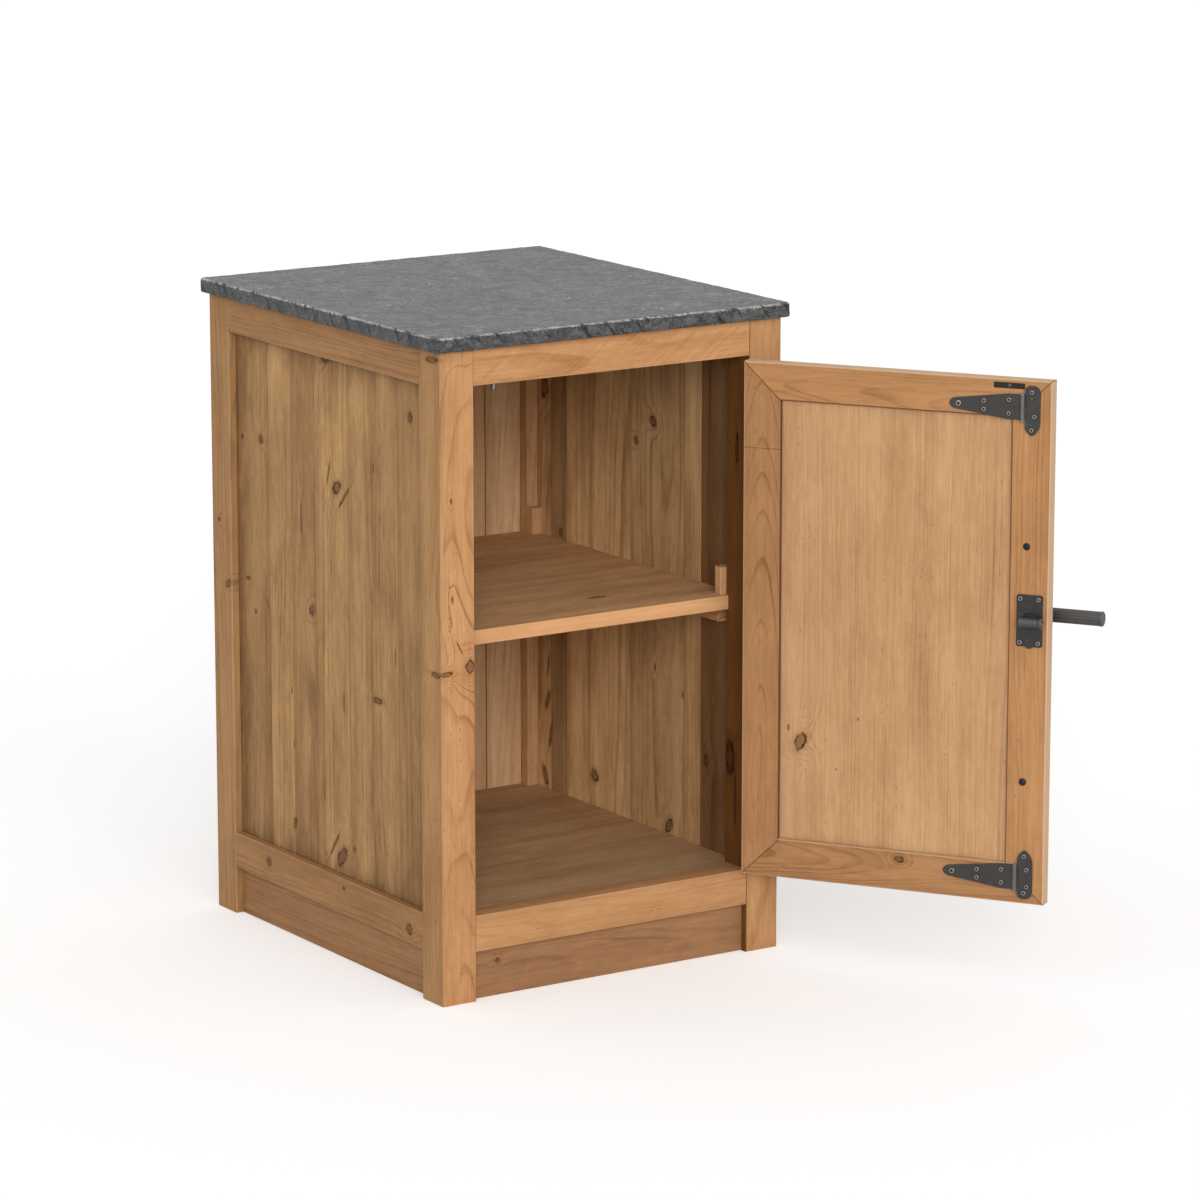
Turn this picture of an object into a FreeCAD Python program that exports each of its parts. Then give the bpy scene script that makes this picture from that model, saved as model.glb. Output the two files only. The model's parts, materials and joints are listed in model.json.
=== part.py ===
import FreeCAD, Part
import math
import os

# Kitchen base cabinet: a pine frame-and-board carcass on plinths, a stone worktop, a shelf, and one framed
# door that stands open on T hinges, with a turning latch through its free stile.
#
# The origin is on the floor, under the middle of the front plinth. +Z is up, the front faces -Y, and the door
# hangs on the right-hand front post. All lengths are in millimetres and all angles in degrees.

# Carcass
body_width = 540.0
body_depth = 610.0
body_height = 880.0
post_side = 52.0
arris = 1.5
front_rail_thickness = 24.0
top_rail_height = 49.0
bottom_rail_height = 50.0
plinth_height = 68.0
plinth_thickness = 22.0
plinth_recess = 11.0
tenon_length = 20.0
tenon_thickness = 9.0
tenon_shoulder = 8.0
tenon_clearance = 0.1

# Wall and floor boards
board_recess = 11.0
board_thickness = 24.0
board_gap = 0.3
board_bevel = 1.0
tongue_length = 6.0
tongue_thickness = 6.0
tongue_clearance = 0.3
left_board_shares = (74, 68, 60, 90, 63, 63, 88)
right_board_shares = (86, 42, 134, 105, 61, 40, 38)
back_board_shares = (80, 66, 75, 70, 85, 60)
floor_board_count = 6
floor_thickness = 18.0
floor_bevel = 0.6
fitting_clearance = 0.5
cleat_height = 22.0
cleat_width = 20.0

# Shelf
shelf_top = 494.0
shelf_thickness = 20.0
shelf_front_inset = 46.0
shelf_clearance = 0.3
shelf_cleat_inset = 20.0
block_height = 38.0
block_depth = 14.0
block_stand_off = 2.0
front_block_reach = 8.0

# Stone worktop
stone_thickness = 20.0
stone_overhang = 10.0
stone_corner = 4.0
stone_arris = 1.5

# Door
door_gap = 2.0
door_thickness = 22.0
stile_width = 54.0
door_top_rail = 50.0
door_bottom_rail = 54.0
panel_thickness = 10.0
panel_inner_recess = 4.0
panel_housing = 8.0
panel_clearance = 0.3
door_open_angle = 124.0

# T hinges
hinge_inset = 36.0
leaf_thickness = 2.0
knuckle_radius = 3.5
knuckle_length = 34.0
knuckle_lift = 0.3
knuckle_clearance = 0.5
knuckle_gap = 0.3
pin_radius = 1.7
pin_fit = 0.05
pin_head_radius = 2.6
pin_head_thickness = 1.2
strap_length = 102.0
strap_tip_width = 15.0
strap_tip_length = 10.0
strap_root_run = 19.0
leaf_width = 23.0
leaf_core_height = 38.0
leaf_height = 67.0
leaf_tip_radius = 4.0
leaf_offset = 4.5
inner_hinge_inset = 39.0
strap_mid_screw_rise_share = 0.33
strap_root_screw_rise_share = 0.53
strap_screw_run_shares = (0.87, 0.525, 0.186)
leaf_screw_rise_shares = (0.75, -0.21, -0.75)
leaf_fourth_hole_rise_share = 0.49
leaf_screw_shift = 3.8

# Screws
screw_head_radius = 3.8
tip_screw_head_radius = 4.6
screw_head_height = 1.5
screw_depth = 9.0
screw_shank_share = 0.42
screw_clearance = 0.15

# Latch
latch_above_middle = 33.0
latch_inset = 25.0
latch_plate_width = 36.0
latch_plate_height = 70.0
latch_plate_thickness = 2.0
latch_plate_corner = 3.0
latch_plate_point = 2.5
latch_plate_point_radius = 7.0
latch_screw_margin = 5.5
rose_radius = 10.5
rose_thickness = 4.0
spindle_radius = 4.0
spindle_fit = 0.05
spindle_clearance = 1.0
hub_radius = 6.5
hub_gap = 0.3
lever_stand_off = 14.0
lever_tail = 11.0
lever_root_radius = 7.2
lever_tip_radius = 7.4
lever_edge_margin = 3.0
lever_end_hollow_radius = 4.8
lever_end_hollow_depth = 2.5
grip_stand_off = 25.0
grip_tail = 12.0
grip_reach = 87.0
grip_radius = 9.8
grip_bead_radius = 10.2
grip_bead_width = 4.0
grip_flute_count = 12
grip_flute_radius = 1.8
grip_flute_depth = 0.7

# Magnetic catch and small fittings
catch_width = 38.0
catch_depth = 12.0
catch_drop = 5.0
catch_height = 24.0
catch_inset = 48.0
catch_edge = 1.0
peg_wall = 1.0
peg_seat_clearance = 0.1
peg_radius = 3.2
peg_drop = 12.5
catch_plate_width = 43.0
catch_plate_height = 7.7
catch_plate_thickness = 2.0
catch_plate_inset = 37.0
catch_plate_drop = 4.6
catch_plate_clearance = 0.1
catch_screw_head_radius = 2.6
catch_screw_head_height = 0.6
catch_screw_hold = 6.0
bumper_radius = 5.0
bumper_height = 3.0
bumper_below_middle = 187.0
cap_radius = 5.0
cap_height = 1.4
cap_above_latch_plate = 64.5
small_fitting_inset = 31.0

# A length by which a cutting tool passes through what it cuts
overrun = 5.0

# Two directions are parallel where their cross product is shorter than this
parallel = 1e-6

# Places that follow from the sizes above
x_left = -body_width / 2
x_right = body_width / 2
y_front = -(plinth_recess + plinth_thickness / 2)
y_back = y_front + body_depth
wall_depth = board_recess + board_thickness
bottom_rail_top = plinth_height + bottom_rail_height
top_rail_bottom = body_height - top_rail_height
opening_left = x_left + post_side
opening_right = x_right - post_side
shelf_bottom = shelf_top - shelf_thickness
shelf_front = y_front + shelf_front_inset

door_free_edge = opening_left + door_gap
door_hinge_edge = opening_right - door_gap
door_bottom = bottom_rail_top + door_gap
door_top = top_rail_bottom - door_gap
door_inner_face = y_front + door_thickness
panel_back = door_inner_face - panel_inner_recess
panel_front = panel_back - panel_thickness

axis_lift = knuckle_radius + knuckle_lift
pivot_x = opening_right - door_gap / 2
pivot_y = y_front - axis_lift
leaf_start = door_gap / 2
latch_x = door_free_edge + latch_inset
door_middle = (door_bottom + door_top) / 2
latch_height = door_middle + latch_above_middle
cap_level = latch_height + latch_plate_height / 2 + cap_above_latch_plate
bumper_level = door_middle - bumper_below_middle
lever_reach = latch_inset - lever_edge_margin
catch_x = opening_left + catch_inset
wall_boards_inner_left = x_left + wall_depth
wall_boards_inner_right = x_right - wall_depth

NODES = {}


def vec(x, y, z):
    return FreeCAD.Vector(x, y, z)


def block(x0, x1, y0, y1, z0, z1):
    """A box between two corners."""
    return Part.makeBox(x1 - x0, y1 - y0, z1 - z0, vec(x0, y0, z0))


def edges_along(solid, direction):
    """The straight edges of a solid that run along one axis."""
    found = []
    for edge in solid.Edges:
        if edge.Curve.TypeId == "Part::GeomLine" and edge.Curve.Direction.cross(direction).Length < parallel:
            found.append(edge)
    return found


def eased(solid, direction, radius=arris):
    """The solid with its long edges along one axis rounded."""
    return solid.makeFillet(radius, edges_along(solid, direction))


def prism(points, direction):
    """A straight prism from a closed flat outline."""
    return Part.Face(Part.makePolygon(points + points[:1])).extrude(direction)


def cut_all(solid, tools):
    """The solid less every tool."""
    return solid.cut(tools) if tools else solid


def turned(profile, centre, direction):
    """A body of revolution from a profile of (radius, distance along the direction) points."""
    points = [vec(r, 0, d) for r, d in profile]
    face = Part.Face(Part.makePolygon(points + points[:1]))
    body = face.revolve(vec(0, 0, 0), vec(0, 0, 1), 360)
    body.Placement = FreeCAD.Placement(centre, FreeCAD.Rotation(vec(0, 0, 1), direction))
    return body


def rod(radius, length, centre, direction):
    """A plain round bar."""
    return Part.makeCylinder(radius, length, centre, direction)


def keep(name, *solids):
    """Files solids under a node name."""
    NODES.setdefault(name, []).extend(solids)


AXIS_X = vec(1, 0, 0)
AXIS_Y = vec(0, 1, 0)
AXIS_Z = vec(0, 0, 1)

# Rails: the run's axis, then the two limits across it and the two limits of height
RAILS = {
    "rail_front_top": ("x", y_front, y_front + front_rail_thickness, top_rail_bottom, body_height),
    "rail_front_bottom": ("x", y_front, y_front + front_rail_thickness, plinth_height, bottom_rail_top),
    "rail_back_top": ("x", y_back - wall_depth, y_back, top_rail_bottom, body_height),
    "rail_back_bottom": ("x", y_back - wall_depth, y_back, plinth_height, bottom_rail_top),
    "rail_left_top": ("y", x_left, x_left + wall_depth, top_rail_bottom, body_height),
    "rail_left_bottom": ("y", x_left, x_left + wall_depth, plinth_height, bottom_rail_top),
    "rail_right_top": ("y", x_right - wall_depth, x_right, top_rail_bottom, body_height),
    "rail_right_bottom": ("y", x_right - wall_depth, x_right, plinth_height, bottom_rail_top),
}

# Plinth boards stand on the floor, set back from the posts' faces
PLINTHS = {
    "plinth_front": ("x", y_front + plinth_recess, y_front + plinth_recess + plinth_thickness),
    "plinth_back": ("x", y_back - plinth_recess - plinth_thickness, y_back - plinth_recess),
    "plinth_left": ("y", x_left + plinth_recess, x_left + plinth_recess + plinth_thickness),
    "plinth_right": ("y", x_right - plinth_recess - plinth_thickness, x_right - plinth_recess),
}


def between_posts(run, low, high, z0, z1, longer=0.0):
    """A bar from post to post along one axis, reaching into both posts by a length."""
    if run == "x":
        return block(opening_left - longer, opening_right + longer, low, high, z0, z1)
    return block(low, high, y_front + post_side - longer, y_back - post_side + longer, z0, z1)


def rail_tenons(run, low, high, z0, z1, clearance):
    """The bar whose two ends are a rail's tenons, with a clearance all round for the mortises."""
    middle = (low + high) / 2
    half = tenon_thickness / 2 + clearance
    z_low = z0 + tenon_shoulder - clearance
    z_high = z1 - tenon_shoulder + clearance
    return between_posts(run, middle - half, middle + half, z_low, z_high, tenon_length + clearance)


def make_frame():
    """Four posts, eight rails tenoned into them, and four plinth boards."""
    mortises = [rail_tenons(*rail, tenon_clearance) for rail in RAILS.values()]
    for side, x0 in (("left", x_left), ("right", x_right - post_side)):
        for place, y0 in (("front", y_front), ("back", y_back - post_side)):
            post = block(x0, x0 + post_side, y0, y0 + post_side, 0, body_height)
            keep("post_%s_%s" % (place, side), cut_all(eased(post, AXIS_Z), mortises))
    for name, rail in RAILS.items():
        bar = eased(between_posts(*rail), AXIS_X if rail[0] == "x" else AXIS_Y)
        keep(name, bar.fuse(rail_tenons(*rail, 0)).removeSplitter())
    for name, (run, low, high) in PLINTHS.items():
        bar = between_posts(run, low, high, 0, plinth_height)
        keep(name, eased(bar, AXIS_X if run == "x" else AXIS_Y))


def posts_grown(clearance):
    """Four post blanks with a clearance all round, for notches."""
    tools = []
    for x0 in (x_left, x_right - post_side):
        for y0 in (y_front, y_back - post_side):
            tools.append(block(x0 - clearance, x0 + post_side + clearance, y0 - clearance,
                               y0 + post_side + clearance, -overrun, body_height + overrun))
    return tools


def joints_from_shares(shares, start, end):
    """Places of the joints of a run of boards."""
    total = sum(shares)
    places = [start]
    for share in shares:
        places.append(places[-1] + (end - start) * share / total)
    return places


def boards(joints, face, back, bevel, place, run):
    """Tongued and grooved boards. place(along, through) turns a point of the section into a vector."""
    middle = (face + back) / 2
    inward = 1 if back > face else -1
    bevel_in = bevel * inward
    tongue = tongue_thickness / 2 * inward
    groove = (tongue_thickness / 2 + tongue_clearance) * inward
    solids = []
    for index, (start, end) in enumerate(zip(joints, joints[1:])):
        first = index == 0
        last = index == len(joints) - 2
        low = start if first else start + board_gap / 2
        high = end if last else end - board_gap / 2
        outline = [(low + bevel, face), (low, face + bevel_in)]
        if not first:
            depth = low + tongue_length + tongue_clearance
            outline += [(low, middle - groove), (depth, middle - groove)]
            outline += [(depth, middle + groove), (low, middle + groove)]
        outline += [(low, back - bevel_in), (low + bevel, back)]
        outline += [(high - bevel, back), (high, back - bevel_in)]
        if not last:
            reach = high + board_gap + tongue_length
            outline += [(high, middle + tongue), (reach, middle + tongue)]
            outline += [(reach, middle - tongue), (high, middle - tongue)]
        outline += [(high, face + bevel_in), (high - bevel, face)]
        solids.append(prism([place(along, through) for along, through in outline], run))
    return solids


def make_walls():
    """Vertical boards between the rails on both sides and at the back."""
    rise = vec(0, 0, top_rail_bottom - bottom_rail_top)
    y0 = y_front + post_side
    y1 = y_back - post_side
    left = joints_from_shares(left_board_shares, y0, y1)
    right = joints_from_shares(right_board_shares, y0, y1)
    back = joints_from_shares(back_board_shares, opening_left, opening_right)

    def on_side(along, through):
        return vec(through, along, bottom_rail_top)

    def on_back(along, through):
        return vec(along, through, bottom_rail_top)

    left_face = x_left + board_recess
    right_face = x_right - board_recess
    back_face = y_back - board_recess
    keep("left_wall_boards", *boards(left, left_face, wall_boards_inner_left, board_bevel, on_side, rise))
    keep("right_wall_boards", *boards(right, right_face, wall_boards_inner_right, board_bevel, on_side, rise))
    keep("back_wall_boards", *boards(back, back_face, y_back - wall_depth, board_bevel, on_back, rise))


def make_floor():
    """Floor boards across the cabinet, notched round the posts, on a cleat along each side rail."""
    x0 = wall_boards_inner_left + fitting_clearance
    x1 = wall_boards_inner_right - fitting_clearance
    floor_bottom = bottom_rail_top - floor_thickness
    joints = joints_from_shares([1] * floor_board_count, y_front + front_rail_thickness, y_back - wall_depth)

    def on_floor(along, through):
        return vec(x0, along, through)

    run = vec(x1 - x0, 0, 0)
    for board in boards(joints, bottom_rail_top, floor_bottom, floor_bevel, on_floor, run):
        keep("floor_boards", cut_all(board, posts_grown(fitting_clearance)))
    y0 = y_front + post_side
    y1 = y_back - post_side
    z0 = floor_bottom - cleat_height
    left = wall_boards_inner_left
    right = wall_boards_inner_right
    keep("floor_cleat_left", eased(block(left, left + cleat_width, y0, y1, z0, floor_bottom), AXIS_Y))
    keep("floor_cleat_right", eased(block(right - cleat_width, right, y0, y1, z0, floor_bottom), AXIS_Y))


def make_shelf():
    """The shelf on its two cleats, with a block standing on it in each corner."""
    left = wall_boards_inner_left
    right = wall_boards_inner_right
    shelf = block(left + shelf_clearance, right - shelf_clearance, shelf_front,
                  y_back - wall_depth - shelf_clearance, shelf_bottom, shelf_top)
    keep("shelf", cut_all(eased(shelf, AXIS_X), posts_grown(shelf_clearance)))
    y0 = y_front + post_side + shelf_cleat_inset
    y1 = y_back - post_side - shelf_cleat_inset
    z0 = shelf_bottom - cleat_height
    keep("shelf_cleat_left", eased(block(left, opening_left, y0, y1, z0, shelf_bottom), AXIS_Y))
    keep("shelf_cleat_right", eased(block(opening_right, right, y0, y1, z0, shelf_bottom), AXIS_Y))
    front0 = y_front + post_side + block_stand_off
    front1 = front0 + block_depth
    back1 = y_back - post_side
    back0 = back1 - block_depth
    z1 = shelf_top + block_height
    inner_left = opening_left + front_block_reach
    inner_right = opening_right - front_block_reach
    keep("shelf_blocks",
         eased(block(left, inner_left, front0, front1, shelf_top, z1), AXIS_Z),
         eased(block(inner_right, right, front0, front1, shelf_top, z1), AXIS_Z),
         eased(block(left, opening_left, back0, back1, shelf_top, z1), AXIS_Z),
         eased(block(opening_right, right, back0, back1, shelf_top, z1), AXIS_Z))


def make_worktop():
    """A stone slab that overhangs the frame all round."""
    slab = block(x_left - stone_overhang, x_right + stone_overhang, y_front - stone_overhang,
                 y_back + stone_overhang, body_height, body_height + stone_thickness)
    slab = slab.makeFillet(stone_corner, edges_along(slab, AXIS_Z))
    middle = body_height + stone_thickness / 2
    rims = [edge for edge in slab.Edges if abs(edge.CenterOfMass.z - middle) > stone_arris]
    keep("stone_worktop", slab.makeFillet(stone_arris, rims))


# Screws


def screw(head_radius, head_height, depth, centre, direction):
    """A low ring-headed screw with a recess. Its head sits on the centre and faces the direction."""
    shank = head_radius * screw_shank_share
    profile = [(0, -depth), (shank / 3, -depth), (shank, -depth + shank * 2), (shank, 0), (head_radius, 0),
               (head_radius, head_height / 3), (head_radius * 3 / 4, head_height),
               (head_radius * 2 / 5, head_height), (head_radius / 3, head_height / 3), (0, head_height / 3)]
    return turned(profile, centre, direction)


def screw_hole(head_radius, depth, centre, direction):
    """The hole that a screw needs in whatever it passes through."""
    radius = head_radius * screw_shank_share + screw_clearance
    start = centre.add(vec(direction.x, direction.y, direction.z).multiply(overrun))
    return rod(radius, depth + overrun + screw_clearance, start, direction.negative())


# T hinge about an upright axis at the origin. The wood's face is at Y = axis_lift, and the hinge lies on it.
# The strap runs to -X and the leaf to +X.
hinge_face = axis_lift - leaf_thickness
OUTWARD = vec(0, -1, 0)


def knuckle(z0, z1):
    return rod(knuckle_radius, z1 - z0, vec(0, 0, z0), AXIS_Z)


def pin_bore():
    foot = -knuckle_length / 2 - overrun
    return rod(pin_radius + pin_fit, knuckle_length + 2 * overrun, vec(0, 0, foot), AXIS_Z)


def hinge_screw_places(toward_middle):
    """Places of the strap's screws, the leaf's screws and its empty holes, each as (x, z, head radius).

    The leaf has four holes. On the upper hinge the fourth one is empty.
    """
    tip, mid, root = [-strap_length * share for share in strap_screw_run_shares]
    mid_rise = knuckle_length / 2 * strap_mid_screw_rise_share
    root_rise = knuckle_length / 2 * strap_root_screw_rise_share
    strap = [(tip, 0, tip_screw_head_radius)]
    for x, rise in ((mid, mid_rise), (root, root_rise)):
        strap += [(x, rise, screw_head_radius), (x, -rise, screw_head_radius)]
    leaf_x = leaf_start + leaf_width / 2
    centre = leaf_offset * toward_middle
    high, middle, low = [centre - toward_middle * leaf_height / 2 * share for share in leaf_screw_rise_shares]
    fourth = centre - toward_middle * leaf_height / 2 * leaf_fourth_hole_rise_share
    shifted_x = leaf_x + leaf_screw_shift
    leaf = [(leaf_x, high, screw_head_radius), (shifted_x, middle, screw_head_radius),
            (leaf_x, low, screw_head_radius)]
    if toward_middle > 0:
        return strap, leaf + [(shifted_x, fourth, screw_head_radius)], []
    return strap, leaf, [(leaf_x, fourth, screw_head_radius)]


def hinge_holes(places, face):
    return [screw_hole(r, screw_depth, vec(x, face, z), OUTWARD) for x, z, r in places]


def arch_middle(half_width, rise):
    """Where one arc of a pointed arch has its middle: how far up it lies, and how far from the axis."""
    radius = (rise ** 2 + half_width ** 2) / (2 * half_width)
    turn = math.asin(rise / radius) / 2
    return radius * math.sin(turn), half_width - radius * (1 - math.cos(turn))


def hinge_strap(toward_middle):
    """A strap with a parallel root, a taper and a pointed tip, with the lower half of the knuckle."""
    root = knuckle_length / 2
    tip = strap_tip_width / 2
    shoulder = -strap_length + strap_tip_length
    taper_start = -leaf_start - strap_root_run
    along, aside = arch_middle(tip, strap_tip_length)
    point = vec(-strap_length, hinge_face, 0)
    corners = [vec(shoulder, hinge_face, tip), vec(taper_start, hinge_face, root),
               vec(-leaf_start, hinge_face, root), vec(-leaf_start, hinge_face, -root),
               vec(taper_start, hinge_face, -root), vec(shoulder, hinge_face, -tip)]
    edges = [Part.makeLine(a, b) for a, b in zip(corners, corners[1:])]
    edges.append(Part.Arc(corners[-1], vec(shoulder - along, hinge_face, -aside), point).toShape())
    edges.append(Part.Arc(point, vec(shoulder - along, hinge_face, aside), corners[0]).toShape())
    plate = Part.Face(Part.Wire(edges)).extrude(vec(0, leaf_thickness, 0))
    room = knuckle_radius + knuckle_clearance
    notch = block(-room, overrun, -overrun, axis_lift + overrun, -knuckle_gap / 2, root + overrun)
    strap_places = hinge_screw_places(toward_middle)[0]
    body = plate.cut(notch).fuse(knuckle(-root, -knuckle_gap / 2)).removeSplitter()
    return cut_all(body, [pin_bore()] + hinge_holes(strap_places, hinge_face))


def leaf_end(start_z, tip_z):
    """One end of a leaf: two arcs that leave its straight sides and meet in a rounded point."""
    half = leaf_width / 2
    middle_x = leaf_start + half
    rise = abs(tip_z - start_z)
    along, aside = arch_middle(half, rise)
    mid_z = start_z + (tip_z - start_z) * along / rise
    left = vec(middle_x - half, hinge_face, start_z)
    right = vec(middle_x + half, hinge_face, start_z)
    tip = vec(middle_x, hinge_face, tip_z)
    left_arc = Part.Arc(left, vec(middle_x - aside, hinge_face, mid_z), tip).toShape()
    right_arc = Part.Arc(tip, vec(middle_x + aside, hinge_face, mid_z), right).toShape()
    edges = [Part.makeLine(right, left), left_arc, right_arc]
    end = Part.Face(Part.Wire(edges)).extrude(vec(0, leaf_thickness, 0))
    point = min(edges_along(end, AXIS_Y), key=lambda edge: abs(edge.CenterOfMass.z - tip_z))
    return end.makeFillet(leaf_tip_radius, [point])


def hinge_leaf(toward_middle):
    """A leaf with a pointed end above and below, with the upper half of the knuckle. It sits off centre."""
    root = knuckle_length / 2
    centre = leaf_offset * toward_middle
    room = knuckle_radius + knuckle_clearance
    half = leaf_core_height / 2
    core = block(leaf_start, leaf_start + leaf_width, hinge_face, axis_lift, -half, half)
    ends = [leaf_end(side * half, centre + side * leaf_height / 2) for side in (-1, 1)]
    past_pin = root + pin_fit + pin_head_thickness + knuckle_clearance
    notch_low = block(-overrun, room, -overrun, axis_lift + overrun, -past_pin, knuckle_gap / 2)
    notch_high = block(-overrun, room, -overrun, axis_lift + overrun, root, past_pin)
    body = core.fuse(ends).removeSplitter().cut([notch_low, notch_high])
    body = body.fuse(knuckle(knuckle_gap / 2, root)).removeSplitter()
    _, leaf_places, empty_holes = hinge_screw_places(toward_middle)
    return cut_all(body, [pin_bore()] + hinge_holes(leaf_places + empty_holes, hinge_face))


def hinge_pin():
    """A pin with a small flat head at each end."""
    half = knuckle_length / 2 + pin_fit
    top = half + pin_head_thickness
    profile = [(0, -top), (pin_head_radius, -top), (pin_head_radius, -half), (pin_radius, -half),
               (pin_radius, half), (pin_head_radius, half), (pin_head_radius, top), (0, top)]
    return turned(profile, vec(0, 0, 0), AXIS_Z)


def hinge_screws(places):
    return [screw(r, screw_head_height, screw_depth, vec(x, hinge_face, z), OUTWARD) for x, z, r in places]


def placed(solids, x, y, z, half_turn):
    """Hinge pieces moved to their axis, turned to the other face of the door where asked."""
    moved = []
    for solid in solids:
        copy = solid.copy()
        if half_turn:
            copy.rotate(vec(0, 0, 0), AXIS_Z, 180)
        copy.translate(vec(x, y, z))
        moved.append(copy)
    return moved


HINGE_LEVELS = (("top", door_top - hinge_inset, -1), ("bottom", door_bottom + hinge_inset, 1))
INNER_AXIS = (door_free_edge + inner_hinge_inset, door_inner_face + axis_lift)


def make_hinges():
    """The working hinges on the front, and the same hinge pattern screwed to the inside of the free stile.

    Returns the holes that their screws need in the post, in the door's front and in its inner face.
    """
    post_holes = []
    door_holes = []
    for level, z, toward_middle in HINGE_LEVELS:
        strap_places, leaf_places, _ = hinge_screw_places(toward_middle)
        strap = hinge_strap(toward_middle)
        leaf = hinge_leaf(toward_middle)
        at_post = (pivot_x, pivot_y, z, False)
        inside = (*INNER_AXIS, z, True)
        keep("hinge_leaf_" + level, *placed([leaf], *at_post))
        keep("hinge_strap_" + level, *placed([strap], *at_post))
        keep("hinge_pins", *placed([hinge_pin()], *at_post))
        keep("hinge_leaf_screws", *placed(hinge_screws(leaf_places), *at_post))
        keep("hinge_strap_screws", *placed(hinge_screws(strap_places), *at_post))
        keep("inner_leaf_" + level, *placed([leaf], *inside))
        keep("inner_strap_" + level, *placed([strap], *inside))
        keep("inner_hinge_pins", *placed([hinge_pin()], *inside))
        keep("inner_hinge_screws", *placed(hinge_screws(strap_places + leaf_places), *inside))
        post_holes += placed(hinge_holes(leaf_places, hinge_face), *at_post)
        door_holes += placed(hinge_holes(strap_places, hinge_face), *at_post)
        door_holes += placed(hinge_holes(strap_places + leaf_places, hinge_face), *inside)
    return post_holes, door_holes


# Latch, with the door closed. "out" is -1 towards the front of the door and 1 towards its inner face.


def latch_plate_places():
    """Places of a latch plate's four screws."""
    across = latch_plate_width / 2 - latch_screw_margin
    up = latch_plate_height / 2 - latch_screw_margin
    return [(latch_x + sx * across, latch_height + sz * up) for sx in (-1, 1) for sz in (-1, 1)]


def latch_screw_seats(face, out):
    """Seats of a latch plate's screws on the plate's outer face."""
    return [vec(x, face + out * latch_plate_thickness, z) for x, z in latch_plate_places()]


def latch_screw_holes(face, out):
    outward = vec(0, out, 0)
    seats = latch_screw_seats(face, out)
    return [screw_hole(screw_head_radius, screw_depth, seat, outward) for seat in seats]


def latch_bar(radius):
    """A rod on the latch's axis that passes through everything there."""
    length = grip_stand_off + lever_stand_off + door_thickness
    return rod(radius, length, vec(latch_x, y_front - grip_stand_off, latch_height), AXIS_Y)


def latch_plate(face, out):
    """A plate with round corners and a small point at the middle of its lower edge."""
    y0, y1 = sorted((face, face + out * latch_plate_thickness))
    half_wide = latch_plate_width / 2
    half_high = latch_plate_height / 2
    z0 = latch_height - half_high
    z1 = latch_height + half_high
    plate = block(latch_x - half_wide, latch_x + half_wide, y0, y1, z0, z1)
    plate = plate.makeFillet(latch_plate_corner, edges_along(plate, AXIS_Y))
    point_centre = vec(latch_x, y0, z0 - latch_plate_point + latch_plate_point_radius)
    point = rod(latch_plate_point_radius, latch_plate_thickness, point_centre, AXIS_Y)
    plate = plate.fuse(point).removeSplitter()
    return cut_all(plate, latch_screw_holes(face, out) + [latch_bar(spindle_radius + spindle_fit)])


def latch_rose(face, out):
    """A stepped round boss round the spindle."""
    step = rose_thickness / 2
    rim = rose_radius - step / 2
    profile = [(0, 0), (rose_radius, 0), (rose_radius, step), (rim, rose_thickness), (0, rose_thickness)]
    boss = turned(profile, vec(latch_x, face, latch_height), vec(0, out, 0))
    return boss.cut(latch_bar(spindle_radius + spindle_fit))


def inner_lever(face):
    """A round bar that swells towards its end, with a hollow in the end, on a short hub."""
    axis_y = face + lever_stand_off
    hub_start = face + latch_plate_thickness + rose_thickness + hub_gap
    hub = rod(hub_radius, axis_y - hub_start, vec(latch_x, hub_start, latch_height), AXIS_Y)
    end = lever_reach
    bead = lever_tip_radius / 4
    profile = [(0, -lever_tail), (lever_root_radius - bead, -lever_tail),
               (lever_root_radius, -lever_tail + bead),
               (lever_tip_radius - bead / 2, end - 3 * bead), (lever_tip_radius, end - 2 * bead),
               (lever_tip_radius, end - bead / 2), (lever_tip_radius - bead / 2, end),
               (lever_end_hollow_radius, end), (lever_end_hollow_radius - bead, end - lever_end_hollow_depth),
               (0, end - lever_end_hollow_depth)]
    bar = turned(profile, vec(latch_x, axis_y, latch_height), vec(-1, 0, 0))
    foot = vec(latch_x, hub_start, latch_height)
    socket = rod(spindle_radius + spindle_fit, axis_y - hub_start, foot, AXIS_Y)
    return bar.fuse(hub).removeSplitter().cut(socket)


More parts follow.
